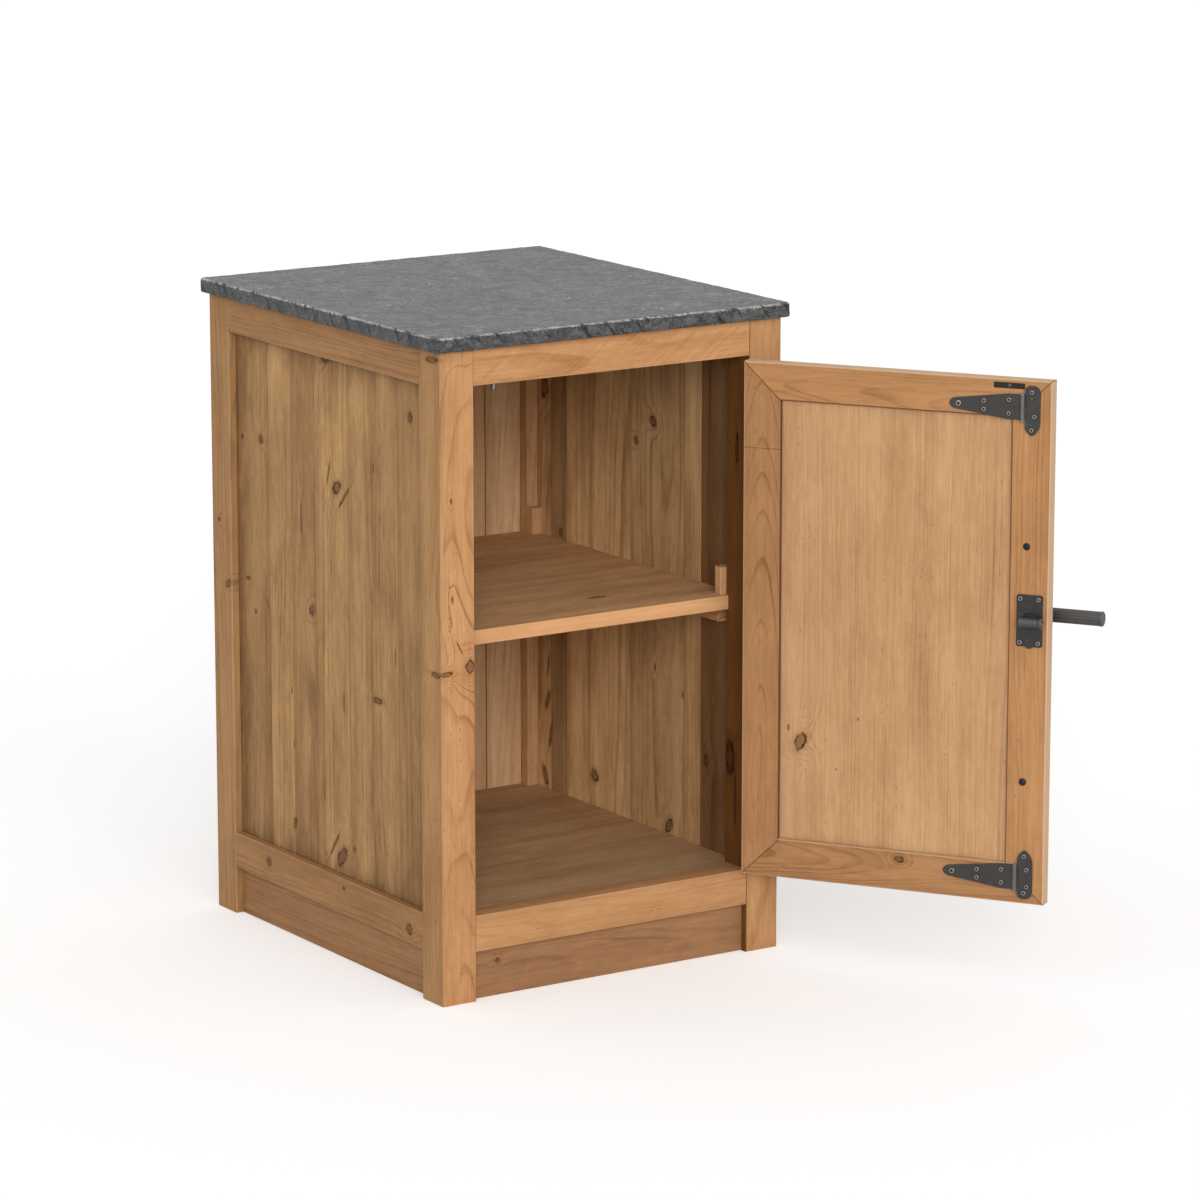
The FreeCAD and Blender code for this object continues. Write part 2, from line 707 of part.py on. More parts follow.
def outer_grip(face):
    """A fluted bar with a bead at each end, on a hub."""
    axis_y = face - grip_stand_off
    hub_start = face - latch_plate_thickness - rose_thickness - hub_gap
    hub = rod(hub_radius, hub_start - axis_y, vec(latch_x, axis_y, latch_height), AXIS_Y)
    centre = vec(latch_x, axis_y, latch_height)
    towards_free_edge = vec(-1, 0, 0)
    edge = grip_bead_width / 4
    ends = (-grip_tail, grip_reach)
    profile = [(0, ends[0]), (grip_bead_radius - edge, ends[0]), (grip_bead_radius, ends[0] + edge),
               (grip_bead_radius, ends[0] + grip_bead_width - edge), (grip_radius, ends[0] + grip_bead_width),
               (grip_radius, ends[1] - grip_bead_width), (grip_bead_radius, ends[1] - grip_bead_width + edge),
               (grip_bead_radius, ends[1] - edge), (grip_bead_radius - edge, ends[1]), (0, ends[1])]
    bar = turned(profile, centre, towards_free_edge)
    flutes = []
    first = latch_x + grip_tail - grip_bead_width - edge
    length = grip_tail + grip_reach - 2 * grip_bead_width - 2 * edge
    orbit = grip_radius + grip_flute_radius - grip_flute_depth
    for index in range(grip_flute_count):
        turn = 2 * math.pi * (index + 0.5) / grip_flute_count
        start = vec(first, axis_y + orbit * math.cos(turn), latch_height + orbit * math.sin(turn))
        flutes.append(rod(grip_flute_radius, length, start, towards_free_edge))
    socket = rod(spindle_radius + spindle_fit, hub_start - axis_y, centre, AXIS_Y)
    return bar.cut(flutes).fuse(hub).removeSplitter().cut(socket)


def make_latch():
    """Plates, roses and levers on both faces of the free stile, on a spindle. Returns their holes."""
    holes = [latch_bar(spindle_radius + spindle_clearance)]
    for side, face, out in (("outer", y_front, -1), ("inner", door_inner_face, 1)):
        on_plate = face + out * latch_plate_thickness
        keep("latch_plate_" + side, latch_plate(face, out))
        keep("latch_rose_" + side, latch_rose(on_plate, out))
        for seat in latch_screw_seats(face, out):
            fixing = screw(screw_head_radius, screw_head_height, screw_depth, seat, vec(0, out, 0))
            keep("latch_plate_screws", fixing)
        holes += latch_screw_holes(face, out)
    keep("latch_lever_inner", inner_lever(door_inner_face))
    keep("latch_grip_outer", outer_grip(y_front))
    start = y_front - grip_stand_off + spindle_fit
    length = grip_stand_off + lever_stand_off + door_thickness - 2 * spindle_fit
    keep("latch_spindle", rod(spindle_radius, length, vec(latch_x, start, latch_height), AXIS_Y))
    return holes


def make_catch():
    """A magnetic catch behind the top rail: a body on two screws, with a peg that hangs below the rail.

    Returns the holes that its screws need in the rail.
    """
    rail_back = y_front + front_rail_thickness
    x0 = catch_x - catch_width / 2
    x1 = catch_x + catch_width / 2
    z0 = top_rail_bottom - catch_drop
    body = block(x0, x1, rail_back, rail_back + catch_depth, z0, z0 + catch_height)
    body = eased(body, AXIS_Y, catch_edge)
    foot = vec(catch_x, rail_back + peg_wall + peg_radius, top_rail_bottom - peg_drop)
    tip = peg_radius / 3
    profile = [(0, 0), (peg_radius - tip, 0), (peg_radius, tip), (peg_radius, peg_drop), (0, peg_drop)]
    keep("catch_peg", turned(profile, foot, AXIS_Z))
    body = body.cut(rod(peg_radius + peg_seat_clearance, peg_drop, foot, AXIS_Z))
    depth = catch_depth + catch_screw_hold
    rail_holes = []
    for side in (-1, 1):
        level = top_rail_bottom + catch_height / 3
        seat = vec(catch_x + side * catch_width / 3, rail_back + catch_depth, level)
        keep("catch_screws", screw(catch_screw_head_radius, catch_screw_head_height, depth, seat, AXIS_Y))
        rail_holes.append(screw_hole(catch_screw_head_radius, depth, seat, AXIS_Y))
    keep("catch_body", body.cut(rail_holes))
    return rail_holes


def make_catch_plate():
    """The catch's counter plate, let into the door's inner face. Returns its pocket and its screw's hole."""
    x0 = door_free_edge + catch_plate_inset
    x1 = x0 + catch_plate_width
    z1 = door_top - catch_plate_drop
    z0 = z1 - catch_plate_height
    y0 = door_inner_face - catch_plate_thickness
    gap = catch_plate_clearance
    pocket = block(x0 - gap, x1 + gap, y0, door_inner_face + overrun, z0 - gap, z1 + gap)
    seat = vec((x0 + x1) / 2, door_inner_face, (z0 + z1) / 2)
    hole = screw_hole(catch_screw_head_radius, screw_depth, seat, AXIS_Y)
    keep("catch_plate", block(x0, x1, y0, door_inner_face, z0, z1).cut(hole))
    fixing = screw(catch_screw_head_radius, catch_screw_head_height, screw_depth, seat, AXIS_Y)
    keep("catch_plate_screw", fixing)
    return [pocket, hole]


def make_small_fittings():
    """A rubber bumper and a capped screw on the inner face of the free stile. Returns their holes."""
    x = door_free_edge + small_fitting_inset
    bumper_seat = vec(x, door_inner_face, bumper_level)
    shank = bumper_radius * screw_shank_share
    profile = [(0, -screw_depth), (shank, -screw_depth), (shank, 0), (bumper_radius, 0),
               (bumper_radius, bumper_height / 3), (bumper_radius * 4 / 5, bumper_height * 3 / 4),
               (bumper_radius * 2 / 5, bumper_height), (0, bumper_height)]
    keep("door_bumper", turned(profile, bumper_seat, AXIS_Y))
    cap_seat = vec(x, door_inner_face, cap_level)
    keep("stile_cap_screw", screw(cap_radius, cap_height, screw_depth, cap_seat, AXIS_Y))
    return [screw_hole(bumper_radius, screw_depth, bumper_seat, AXIS_Y),
            screw_hole(cap_radius, screw_depth, cap_seat, AXIS_Y)]


def make_door(holes):
    """Two stiles and two rails mitred round a flat panel that is held in their grooves."""
    x0, x1, z0, z1 = door_free_edge, door_hinge_edge, door_bottom, door_top
    a0, a1 = x0 + stile_width, x1 - stile_width
    c0, c1 = z0 + door_bottom_rail, z1 - door_top_rail
    members = {
        "door_stile_latch_side": (AXIS_Z, [(x0, z0), (a0, c0), (a0, c1), (x0, z1)]),
        "door_stile_hinge_side": (AXIS_Z, [(x1, z0), (x1, z1), (a1, c1), (a1, c0)]),
        "door_rail_top": (AXIS_X, [(x0, z1), (a0, c1), (a1, c1), (x1, z1)]),
        "door_rail_bottom": (AXIS_X, [(x0, z0), (x1, z0), (a1, c0), (a0, c0)]),
    }
    deep = panel_housing
    panel = block(a0 - deep, a1 + deep, panel_front, panel_back, c0 - deep, c1 + deep)
    gap = panel_clearance
    room = deep + gap
    groove = block(a0 - room, a1 + room, panel_front - gap, panel_back + gap, c0 - room, c1 + room)
    for name, (grain, outline) in members.items():
        member = prism([vec(x, y_front, z) for x, z in outline], vec(0, door_thickness, 0))
        keep(name, cut_all(eased(member, grain), [groove] + holes))
    keep("door_panel", cut_all(panel, holes))


DOOR_BODY = ("door_", "hinge_strap", "inner_", "latch_", "catch_plate", "stile_cap")


def open_door():
    """Turns the door and all it carries about its hinge axis, to where it stands."""
    for name, solids in NODES.items():
        if name.startswith(DOOR_BODY):
            for solid in solids:
                solid.rotate(vec(pivot_x, pivot_y, 0), AXIS_Z, door_open_angle)


def make_all():
    make_frame()
    make_walls()
    make_floor()
    make_shelf()
    make_worktop()
    post_holes, door_holes = make_hinges()
    door_holes += make_latch()
    rail_holes = make_catch()
    door_holes += make_catch_plate() + make_small_fittings()
    make_door(door_holes)
    NODES["post_front_right"] = [cut_all(post, post_holes) for post in NODES["post_front_right"]]
    NODES["rail_front_top"] = [cut_all(rail, rail_holes) for rail in NODES["rail_front_top"]]
    open_door()


def write_all():
    os.makedirs("parts", exist_ok=True)
    for name, found in sorted(NODES.items()):
        solids = [solid for shape in found for solid in shape.Solids]
        shape = solids[0] if len(solids) == 1 else Part.makeCompound(solids)
        shape.exportStep("parts/%s.step" % name)
        volume = sum(solid.Volume for solid in solids)
        print("%-24s solids %2d  volume %12.1f  valid %s" % (name, len(solids), volume, shape.isValid()))


make_all()
write_all()
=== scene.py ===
from dataclasses import dataclass
import json
import math

import bpy
import numpy as np
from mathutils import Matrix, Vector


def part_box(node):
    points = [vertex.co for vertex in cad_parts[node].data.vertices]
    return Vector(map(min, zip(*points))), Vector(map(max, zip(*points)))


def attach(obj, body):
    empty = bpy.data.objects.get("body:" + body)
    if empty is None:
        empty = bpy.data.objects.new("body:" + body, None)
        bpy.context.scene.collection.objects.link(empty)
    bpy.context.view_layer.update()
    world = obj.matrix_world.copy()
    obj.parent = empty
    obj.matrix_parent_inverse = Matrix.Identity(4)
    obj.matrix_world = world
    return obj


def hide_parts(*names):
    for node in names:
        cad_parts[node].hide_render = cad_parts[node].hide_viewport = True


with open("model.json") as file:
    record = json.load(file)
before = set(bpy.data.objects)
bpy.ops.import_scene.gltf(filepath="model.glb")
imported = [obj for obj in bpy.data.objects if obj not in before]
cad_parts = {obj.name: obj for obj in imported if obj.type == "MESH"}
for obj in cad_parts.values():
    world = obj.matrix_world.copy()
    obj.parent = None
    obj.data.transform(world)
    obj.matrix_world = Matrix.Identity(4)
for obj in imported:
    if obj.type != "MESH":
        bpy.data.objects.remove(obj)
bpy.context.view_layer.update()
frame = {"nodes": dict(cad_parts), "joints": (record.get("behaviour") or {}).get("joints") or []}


def joint_named(name):
    return next(joint for joint in frame["joints"] if joint["name"] == name)


HINGE_PLACE = tuple(joint_named("door_hinge")["pos_m"])
LATCH_AXIS = joint_named("latch_turn")["axis"]
DOOR_TURN = math.atan2(LATCH_AXIS[0], -LATCH_AXIS[1])

# How a piece of timber lies: the turn that takes its length to the cabinet's frame
UPRIGHT = (0.0, 0.0, 0.0)
ACROSS = (0.0, math.pi / 2, 0.0)
BACKWARD = (-math.pi / 2, 0.0, 0.0)
DOOR_UPRIGHT = (0.0, 0.0, DOOR_TURN)
DOOR_ACROSS = (0.0, math.pi / 2, DOOR_TURN)
ALONG_WALL = (0.0, 0.0, math.pi / 2)
ALONG_FLOOR = (math.pi / 2, 0.0, math.pi / 2)

# Directions: of a side along a piece's own axes, or of a knot in the cabinet's frame
LEFTWARD = (-1.0, 0.0, 0.0)
RIGHTWARD = (1.0, 0.0, 0.0)
FORWARD = (0.0, -1.0, 0.0)
REARWARD = (0.0, 1.0, 0.0)
UPWARD = (0.0, 0.0, 1.0)

ORIGIN = (0.0, 0.0, 0.0)
UNIT_BOX = (1.0, 1.0, 1.0)


def shade(red, green, blue):
    """A colour as it looks on a screen, 0 to 255, turned into light amounts."""
    levels = [level / 255 for level in (red, green, blue)]
    return (*[level / 12.92 if level < 0.04 else ((level + 0.055) / 1.055) ** 2.4 for level in levels], 1.0)


def grey(level):
    return shade(level, level, level)


# Timber colours as they look in plain light: between the year rings, and the rings themselves
TONES = {
    "front": (shade(212, 160, 110), shade(150, 98, 54)),
    "low_front": (shade(201, 152, 104), shade(142, 93, 51)),
    "rail": (shade(178, 132, 86), shade(122, 82, 46)),
    "plinth": (shade(172, 128, 86), shade(118, 80, 46)),
    "front_plinth": (shade(166, 122, 84), shade(112, 76, 44)),
    "side": (shade(184, 140, 93), shade(128, 86, 48)),
    "left_wall": (shade(203, 158, 104), shade(122, 82, 44)),
    # The inside's tones, for the right and back walls, the inner pieces and the floor, are lighter than the
    # outside wood's: painted light for the dim inside
    "right_wall": (shade(246, 204, 148), shade(148, 102, 58)),
    "back_wall": (shade(252, 214, 166), shade(188, 136, 86)),
    "inner": (shade(222, 174, 126), shade(150, 104, 64)),
    "floor": (shade(208, 172, 130), shade(140, 100, 64)),
    "stile": (shade(189, 140, 94), shade(120, 78, 42)),
    "latch_stile": (shade(202, 150, 100), shade(138, 91, 50)),
    "panel": (shade(210, 166, 122), shade(158, 110, 66)),
    # What a board's two tones turn into at its darkest, as on the right wall's board darkened with painted
    # shadow
    "deep": (shade(92, 54, 22), shade(62, 36, 13))}
KNOT_BROWN = shade(104, 62, 32)
BARK_BROWN = shade(44, 26, 14)
# A brown for the dark joints between boards, and for the painted shade along framed fields
GRIME_AND_SHADE = shade(78, 50, 28)
# A pale sanded-wood colour for worn arrises and sanded sides, which also stands in for their painted
# highlight
SANDED_AND_HIGHLIGHT = shade(224, 192, 156)


class Value:
    """A number or colour that a shader works out. Sums, differences, products and quotients are nodes too."""

    def __init__(self, recipe, socket=None, factors=()):
        self.recipe = recipe
        self.made = socket
        self.factors = factors

    @property
    def socket(self):
        """The node's socket. A product gets its own node only here: within a sum it is part of the sum."""
        if self.made is None:
            self.made = self.recipe.math("MULTIPLY", *self.factors).made
        return self.made

    def __mul__(self, other):
        return Value(self.recipe, factors=(self, other))

    def __add__(self, other):
        for product, rest in ((self, other), (other, self)):
            if isinstance(product, Value) and product.made is None:
                return self.recipe.math("MULTIPLY_ADD", *product.factors, rest)
        return self.recipe.math("ADD", self, other)

    def __sub__(self, other):
        return self.recipe.math("SUBTRACT", self, other)

    def __truediv__(self, other):
        return self.recipe.math("DIVIDE", self, other)

    def ease(self, low, high, at_low=0.0, at_high=1.0):
        """A smooth step from at_low to at_high as the value goes from low to high."""
        steps = enumerate((self, low, high, at_low, at_high))
        return self.recipe.add("ShaderNodeMapRange", steps, interpolation_type="SMOOTHSTEP")[0]

    def fade(self, low, high, at_low=1.0):
        """A smooth step down to nothing."""
        return self.ease(low, high, at_low, 0.0)


class Recipe:
    """Places shader nodes in one tree and joins them."""

    def __init__(self, tree):
        self.tree = tree

    def feed(self, socket, value):
        if isinstance(value, Value):
            self.tree.links.new(value.socket, socket)
        else:
            socket.default_value = tuple(value) if isinstance(value, np.ndarray) else value

    def add(self, kind, inputs=(), **settings):
        """A new node. inputs go by index or name, and so do the outputs that it gives back."""
        node = self.tree.nodes.new(kind)
        for name, value in settings.items():
            setattr(node, name, value)
        for key, value in dict(inputs).items():
            self.feed(node.inputs[key], value)
        outputs = {}
        for index, socket in enumerate(node.outputs):
            outputs[index] = outputs[socket.name] = Value(self, socket)
        return outputs

    def use(self, group, **inputs):
        return self.add("ShaderNodeGroup", inputs, node_tree=group)

    def math(self, operation, *values, clamp=False):
        return self.add("ShaderNodeMath", enumerate(values), operation=operation, use_clamp=clamp)[0]

    def vector(self, operation, *values):
        outputs = self.add("ShaderNodeVectorMath", enumerate(values), operation=operation)
        return outputs["Value" if operation in ("LENGTH", "DOT_PRODUCT") else "Vector"]

    def split(self, vector):
        outputs = self.add("ShaderNodeSeparateXYZ", {"Vector": vector})
        return [outputs[axis] for axis in "XYZ"]

    def join(self, x, y, z):
        return self.add("ShaderNodeCombineXYZ", enumerate((x, y, z)))[0]

    def mix(self, factor, first, second, mode="MIX"):
        return self.add("ShaderNodeMix", {0: factor, 6: first, 7: second},
                        data_type="RGBA", blend_type=mode, clamp_factor=True)[2]

    def noise(self, place, scale=None, detail=2.0, roughness=0.5):
        """A cloudy value round a half. scale is how fast it changes along each axis."""
        if scale:
            place = self.vector("MULTIPLY", place, scale)
        inputs = {"Vector": place, "Scale": 1.0, "Detail": detail, "Roughness": roughness}
        return self.add("ShaderNodeTexNoise", inputs)["Fac"]

    def chance(self, value):
        """A number and a colour drawn by chance for each value."""
        return self.add("ShaderNodeTexWhiteNoise", {"W": value}, noise_dimensions="1D")

    def inset(self, place, half):
        """How far in from the nearer side of a box a point lies, along each axis."""
        return self.split(self.vector("SUBTRACT", half, self.vector("ABSOLUTE", place)))

    def place_on(self, centre=ORIGIN, turn=UPRIGHT):
        """Object coordinates moved to a piece's centre and turned to its own axes."""
        here = self.add("ShaderNodeTexCoord")["Object"]
        return self.add("ShaderNodeMapping", {"Vector": here, "Location": centre, "Rotation": turn},
                        vector_type="TEXTURE")[0]

    def close(self, **outputs):
        """Gives a group its outputs, and gives back the finished group."""
        kinds = {"VALUE": "NodeSocketFloat", "RGBA": "NodeSocketColor"}
        for label, value in outputs.items():
            kind = kinds[value.socket.type]
            self.tree.interface.new_socket(name=label, in_out="OUTPUT", socket_type=kind)
        result = self.tree.nodes.new("NodeGroupOutput")
        for label, value in outputs.items():
            self.feed(result.inputs[label], value)
        return self.tree


def shader_group(name, inputs):
    """A shader node group with named sockets: its recipe, and its inputs by name."""
    tree = bpy.data.node_groups.new(name, "ShaderNodeTree")
    kinds = {1: "NodeSocketFloat", 3: "NodeSocketVector", 4: "NodeSocketColor"}
    for label, value in inputs.items():
        kind = kinds[np.size(value)]
        tree.interface.new_socket(name=label, in_out="INPUT", socket_type=kind).default_value = value
    recipe = Recipe(tree)
    return recipe, recipe.add("NodeGroupInput")


class Finish(Recipe):
    """A material's recipe, round one Principled surface."""

    def __init__(self, name):
        self.material = bpy.data.materials.new(name)
        self.material.use_nodes = True
        super().__init__(self.material.node_tree)

    def complete(self, color, skin, relief, **constants):
        """Joins a colour and a group's roughness and height to the surface. relief is in metres or None."""
        joined = {"Base Color": color, "Roughness": skin["Roughness"], **constants}
        if relief:
            bump = {"Strength": 1.0, "Distance": relief, "Height": skin["Height"]}
            joined["Normal"] = self.add("ShaderNodeBump", bump)[0]
        surface = self.tree.nodes["Principled BSDF"]
        for name, value in joined.items():
            self.feed(surface.inputs[name.replace("_", " ")], value)
        return self.material


def dress(nodes, material):
    """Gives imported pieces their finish."""
    for node in nodes:
        slots = frame["nodes"][node].data.materials
        slots.clear()
        slots.append(material)


def make_knot_group():
    """One branch knot: how far a point is from it, and how many years the growth lines swell by there.

    The distance is the length of the offset from the knot's centre, divided by its reach along each axis.
    The swell falls with the distance as a bell curve.
    """
    recipe, given = shader_group("branch_knot", {
        "Place": ORIGIN, "Centre": ORIGIN, "Reach": (0.01, 1.0, 0.01), "Slant": ORIGIN, "Swell": 2.0})
    offset = recipe.vector("SUBTRACT", given["Place"], given["Centre"])
    slant = {"Vector": given["Slant"], "Scale": recipe.split(offset)[2]}
    lean = recipe.add("ShaderNodeVectorMath", slant, operation="SCALE")[0]
    leaning = recipe.vector("ADD", offset, lean)
    distance = recipe.vector("LENGTH", recipe.vector("DIVIDE", leaning, given["Reach"]))
    falling = recipe.math("EXPONENT", recipe.math("POWER", distance, 2.0) * -0.13)
    return recipe.close(Distance=distance, Warp=falling * given["Swell"])


def make_knot_marks_group():
    """What shows at a distance from the nearest knot, bent a little: a ringed core, a dark rim and a halo."""
    recipe, given = shader_group("knot_marks", {"Place": ORIGIN, "Distance": 9.0})
    bends = recipe.noise(given["Place"], (190, 190, 120), 3.0)
    distance = (bends - 0.5) * 1.3 + given["Distance"]
    rings = recipe.math("SINE", distance * 17.0) * 0.25 + 0.62
    return recipe.close(Core=distance.fade(0.8, 1.05) * rings,
                        Rim=distance.ease(0.62, 0.95) * distance.fade(0.98, 1.3),
                        Halo=distance.fade(0.9, 2.3))


def make_edge_group():
    """How far a point on a box lies from the nearest arris: the middle one of its three distances."""
    recipe, given = shader_group("arris_distance", {"Place": ORIGIN, "Half": UNIT_BOX})
    a, b, c = recipe.inset(given["Place"], given["Half"])
    high = recipe.math("MINIMUM", recipe.math("MAXIMUM", a, b), c)
    return recipe.close(Distance=recipe.math("MAXIMUM", recipe.math("MINIMUM", a, b), high))


def make_field_shade_and_grime_group():
    """Darkening along a framed field's sides: a broad ragged fade from the nearest one, painted shade partly
    grime, and a close dark line of painted shadow.
    """
    recipe, given = shader_group("field_shade_and_grime", {"Place": ORIGIN, "Half": UNIT_BOX, "Reach": 0.04})
    across, _, along = recipe.inset(given["Place"], given["Half"])
    gap = recipe.math("MINIMUM", across, along)
    drift = recipe.noise(given["Place"], (26, 26, 9), 4.0, 0.65) - 0.5
    ragged = drift * (given["Reach"] * 2.6) + gap
    fade = recipe.math("SUBTRACT", 1.0, ragged / given["Reach"], clamp=True)
    line = (drift * 0.004 + gap).fade(0.0012, 0.003)
    return recipe.close(Mask=fade * recipe.math("SQRT", fade), Close=line)


def make_mitre_group():
    """The fine line where two framing pieces meet: it runs from the frame's outer corner to the inner one."""
    recipe, given = shader_group("mitre_line", {
        "Place": ORIGIN, "Half": UNIT_BOX, "Slope": 1.0, "Reach": 0.055})
    across, _, along = recipe.inset(given["Place"], given["Half"])
    gap = recipe.math("ABSOLUTE", along - across * given["Slope"])
    within = recipe.math("LESS_THAN", across, given["Reach"])
    return recipe.close(Mask=gap.fade(0.0004, 0.0013) * within)


def make_pine_group():
    """Pine cut from a log: year rings about a pith line, fibres along the length, tone bands, flecks, saw
    marks and worn arrises with a painted highlight. A point's year is its distance from the pith line,
    divided by the ring width."""
    recipe, given = shader_group("reclaimed_pine", {
        "Place": ORIGIN, "Seed": ORIGIN, "Half": UNIT_BOX, "Light": grey(255), "Dark": grey(188),
        "Pith": (0.0, 0.03, 0.02), "Ring": 0.005, "Early": 0.5, "Bow": 0.02, "Contrast": 0.5, "Banding": 0.6,
        "Streaks": 0.5, "Flecks": 0.3, "Arris": 0.5, "Saw": 0.0, "Warp": 0.0, "Core": 0.0, "Rim": 0.0,
        "Halo": 0.0})
    place, light, dark, banding = [given[name] for name in ("Place", "Light", "Dark", "Banding")]
    seeded = recipe.vector("ADD", place, given["Seed"])

    # Years: a light part, then a dark line that ends sharply
    x, y, z = recipe.split(place)
    pith_x, pith_y, lean = recipe.split(given["Pith"])
    across = (recipe.noise(seeded, (6, 6, 1.3)) - 0.5) * 0.05 + (x - pith_x)
    deep = (recipe.noise(seeded, (14, 14, 3.4)) - 0.5) * given["Bow"] + (y - pith_y - lean * z)
    years = recipe.vector("LENGTH", recipe.join(across, deep, 0.0)) / given["Ring"]
    slow = {"W": years * 0.37, "Scale": 1.0, "Detail": 1.0}
    seasons = recipe.add("ShaderNodeTexNoise", slow, noise_dimensions="1D")["Fac"]
    years = seasons * 3.0 + (years + given["Warp"])
    part_of_year = recipe.math("FRACT", years)
    late = part_of_year.ease(given["Early"], 0.93) * part_of_year.fade(0.93, 1.0)
    good_year = recipe.chance(recipe.math("FLOOR", years))["Value"] * 0.75 + 0.25
    patchy = recipe.noise(seeded, (22, 22, 1.9)).ease(0.36, 0.66, 0.32)
    presence = good_year * patchy
    figure = given["Warp"].ease(0.3, 2.5) * 0.5 + presence

    # Tone: the dark lines, then fibres, strands, bands and clouds, and what the saw left
    fibre = recipe.noise(seeded, (1000, 1000, 22), roughness=0.6)
    strand = recipe.noise(seeded, (260, 260, 7), 3.0, 0.65)
    band = recipe.noise(seeded, (30, 30, 1.6), 3.0, 0.6)
    cloud = recipe.noise(seeded, (15, 15, 6), 6.0, 0.66)
    mottle = recipe.noise(seeded, (150, 150, 46), 3.0, 0.6)
    amount = late * figure * given["Contrast"]
    for grain, weight in ((strand, given["Streaks"]), (fibre, 0.45), (mottle, banding * 0.9),
                          (band, banding * 1.5), (cloud, banding * 2.3)):
        amount = (grain - 0.5) * weight + amount
    sawn = recipe.join((z * 0.75 + x) * 520.0, y * 40.0, z * 14.0)
    kerf = (recipe.noise(sawn, detail=1.0) - 0.5) * given["Saw"]
    color = recipe.mix(recipe.math("ADD", amount + kerf, 0.3, clamp=True), light, dark)

    # Flecks: small cells chosen by chance, mostly in rows
    cells = recipe.add("ShaderNodeTexVoronoi", {
        "Vector": recipe.vector("MULTIPLY", seeded, (360.0, 360.0, 150.0)), "Scale": 1.0, "Randomness": 1.0})
    rows = recipe.noise(seeded, (130, 130, 2.2), 1.0).ease(0.6, 0.68)
    share = (rows * 0.85 + 0.012) * given["Flecks"]
    chosen = recipe.math("LESS_THAN", recipe.split(cells["Color"])[0], share)
    fleck = chosen * cells["Distance"].fade(0.12, 0.3)
    color = recipe.mix(fleck * 0.6, color, BARK_BROWN)

    # Knots, then the worn arris with its painted highlight, and the darker wood beside it
    color = recipe.mix(given["Halo"] * 0.5, color, dark)
    color = recipe.mix(given["Core"] * 0.85, color, KNOT_BROWN)
    color = recipe.mix(given["Rim"] * mottle.ease(0.3, 0.6, 0.35), color, BARK_BROWN)
    edge = recipe.use(EDGE, Place=place, Half=given["Half"])["Distance"]
    arris_highlight_and_wear = ((cloud - 0.5) * 0.005 + edge).fade(0.0004, 0.0026) * given["Arris"]
    color = recipe.mix(arris_highlight_and_wear * 0.55, color, recipe.mix(0.5, light, SANDED_AND_HIGHLIGHT))
    color = recipe.mix(edge.fade(0.0022, 0.014, 0.28) * given["Arris"], color, dark)

    height = late * (presence * 0.4)
    for part, weight in ((fibre, 0.3), (strand, 0.45), (kerf, 0.8), (fleck, -0.8), (given["Rim"], -0.7),
                         (mottle, 0.8), (cloud, 0.7)):
        height = part * weight + height
    roughness = recipe.math("MULTIPLY_ADD", late, -0.06, strand * 0.2 + 0.52, clamp=True)
    return recipe.close(Color=color, Roughness=roughness, Height=height)


EDGE = make_edge_group()
KNOT = make_knot_group()
KNOT_MARKS = make_knot_marks_group()
FIELD_SHADE_AND_GRIME = make_field_shade_and_grime_group()
MITRE = make_mitre_group()
PINE = make_pine_group()


def turn_matrix(turn):
    """The rotation that Blender gives for these three angles, as a 3 by 3 array."""
    cx, cy, cz = [math.cos(angle) for angle in turn]
    sx, sy, sz = [math.sin(angle) for angle in turn]
    about_x = np.array([[1, 0, 0], [0, cx, -sx], [0, sx, cx]])
    about_y = np.array([[cy, 0, sy], [0, 1, 0], [-sy, 0, cy]])
    about_z = np.array([[cz, -sz, 0], [sz, cz, 0], [0, 0, 1]])
    return about_z @ about_y @ about_x


def corner_points(node):
    mesh = frame["nodes"][node].data
    points = np.empty(len(mesh.vertices) * 3)
    mesh.vertices.foreach_get("co", points)
    return points.reshape(-1, 3)


def lie_of(nodes, turn):
    """The centre of some pieces in the cabinet's frame, and their half sizes along their own axes."""
    matrix = turn_matrix(turn)
    local = np.concatenate([corner_points(node) for node in nodes]) @ matrix
    low, high = local.min(0), local.max(0)
    return tuple(matrix @ ((low + high) / 2)), tuple((high - low) / 2)


@dataclass
class Knot:
    """A branch knot at a point in the cabinet's frame, which grows into the piece along the axis given."""
    point: tuple
    into: tuple
    half_width: float
    half_length: float
    slant: float = 0.0
    swell: float = 2.0
    depth: float = 0.03


def knots_into(axis, *rows):
    """Knots that grow in along one axis. A row is its X, Y and Z, then what Knot takes after the axis."""
    return [Knot(row[:3], axis, *row[3:]) for row in rows]


def wall_knots(x, rows):
    """Knots right through a wall's boards at this X. A row is Y, Z, half width, half length, any slant."""
    return [Knot((x, y, z), RIGHTWARD, *cut, depth=1.0) for y, z, *cut in rows]


@dataclass
class Timber:
    """How one stick or run of boards is cut and finished.

    sides are the sides with a tint of their own, some painted light and some painted shade, each as
    (direction, tint, amount, way of mixing). The shade-and-grime amount is how dark a framed field's sides
    are: painted shade, partly grime.
    stain is how brown the wood beside a joint is, and joint how dark it is.
    """
    tones: str
    ring: float = 0.005
    pith: tuple = (0.01, 0.04, 0.03)
    bow: float = 0.02
    contrast: float = 0.5
    banding: float = 0.5
    streaks: float = 0.5
    early: float = 0.5
    flecks: float = 0.2
    arris: float = 0.5
    saw: float = 0.0
    relief: float = 0.0005
    knots: tuple = ()
    shade_and_grime: float = 0.0
    stain: float = 0.5
    joint: float = 0.7
    sides: tuple = ()

    def values(self):
        """What the pine group takes as it is."""
        names = ("ring", "bow", "contrast", "banding", "streaks", "early", "flecks", "arris", "saw")
        return {name.capitalize(): getattr(self, name) for name in names}


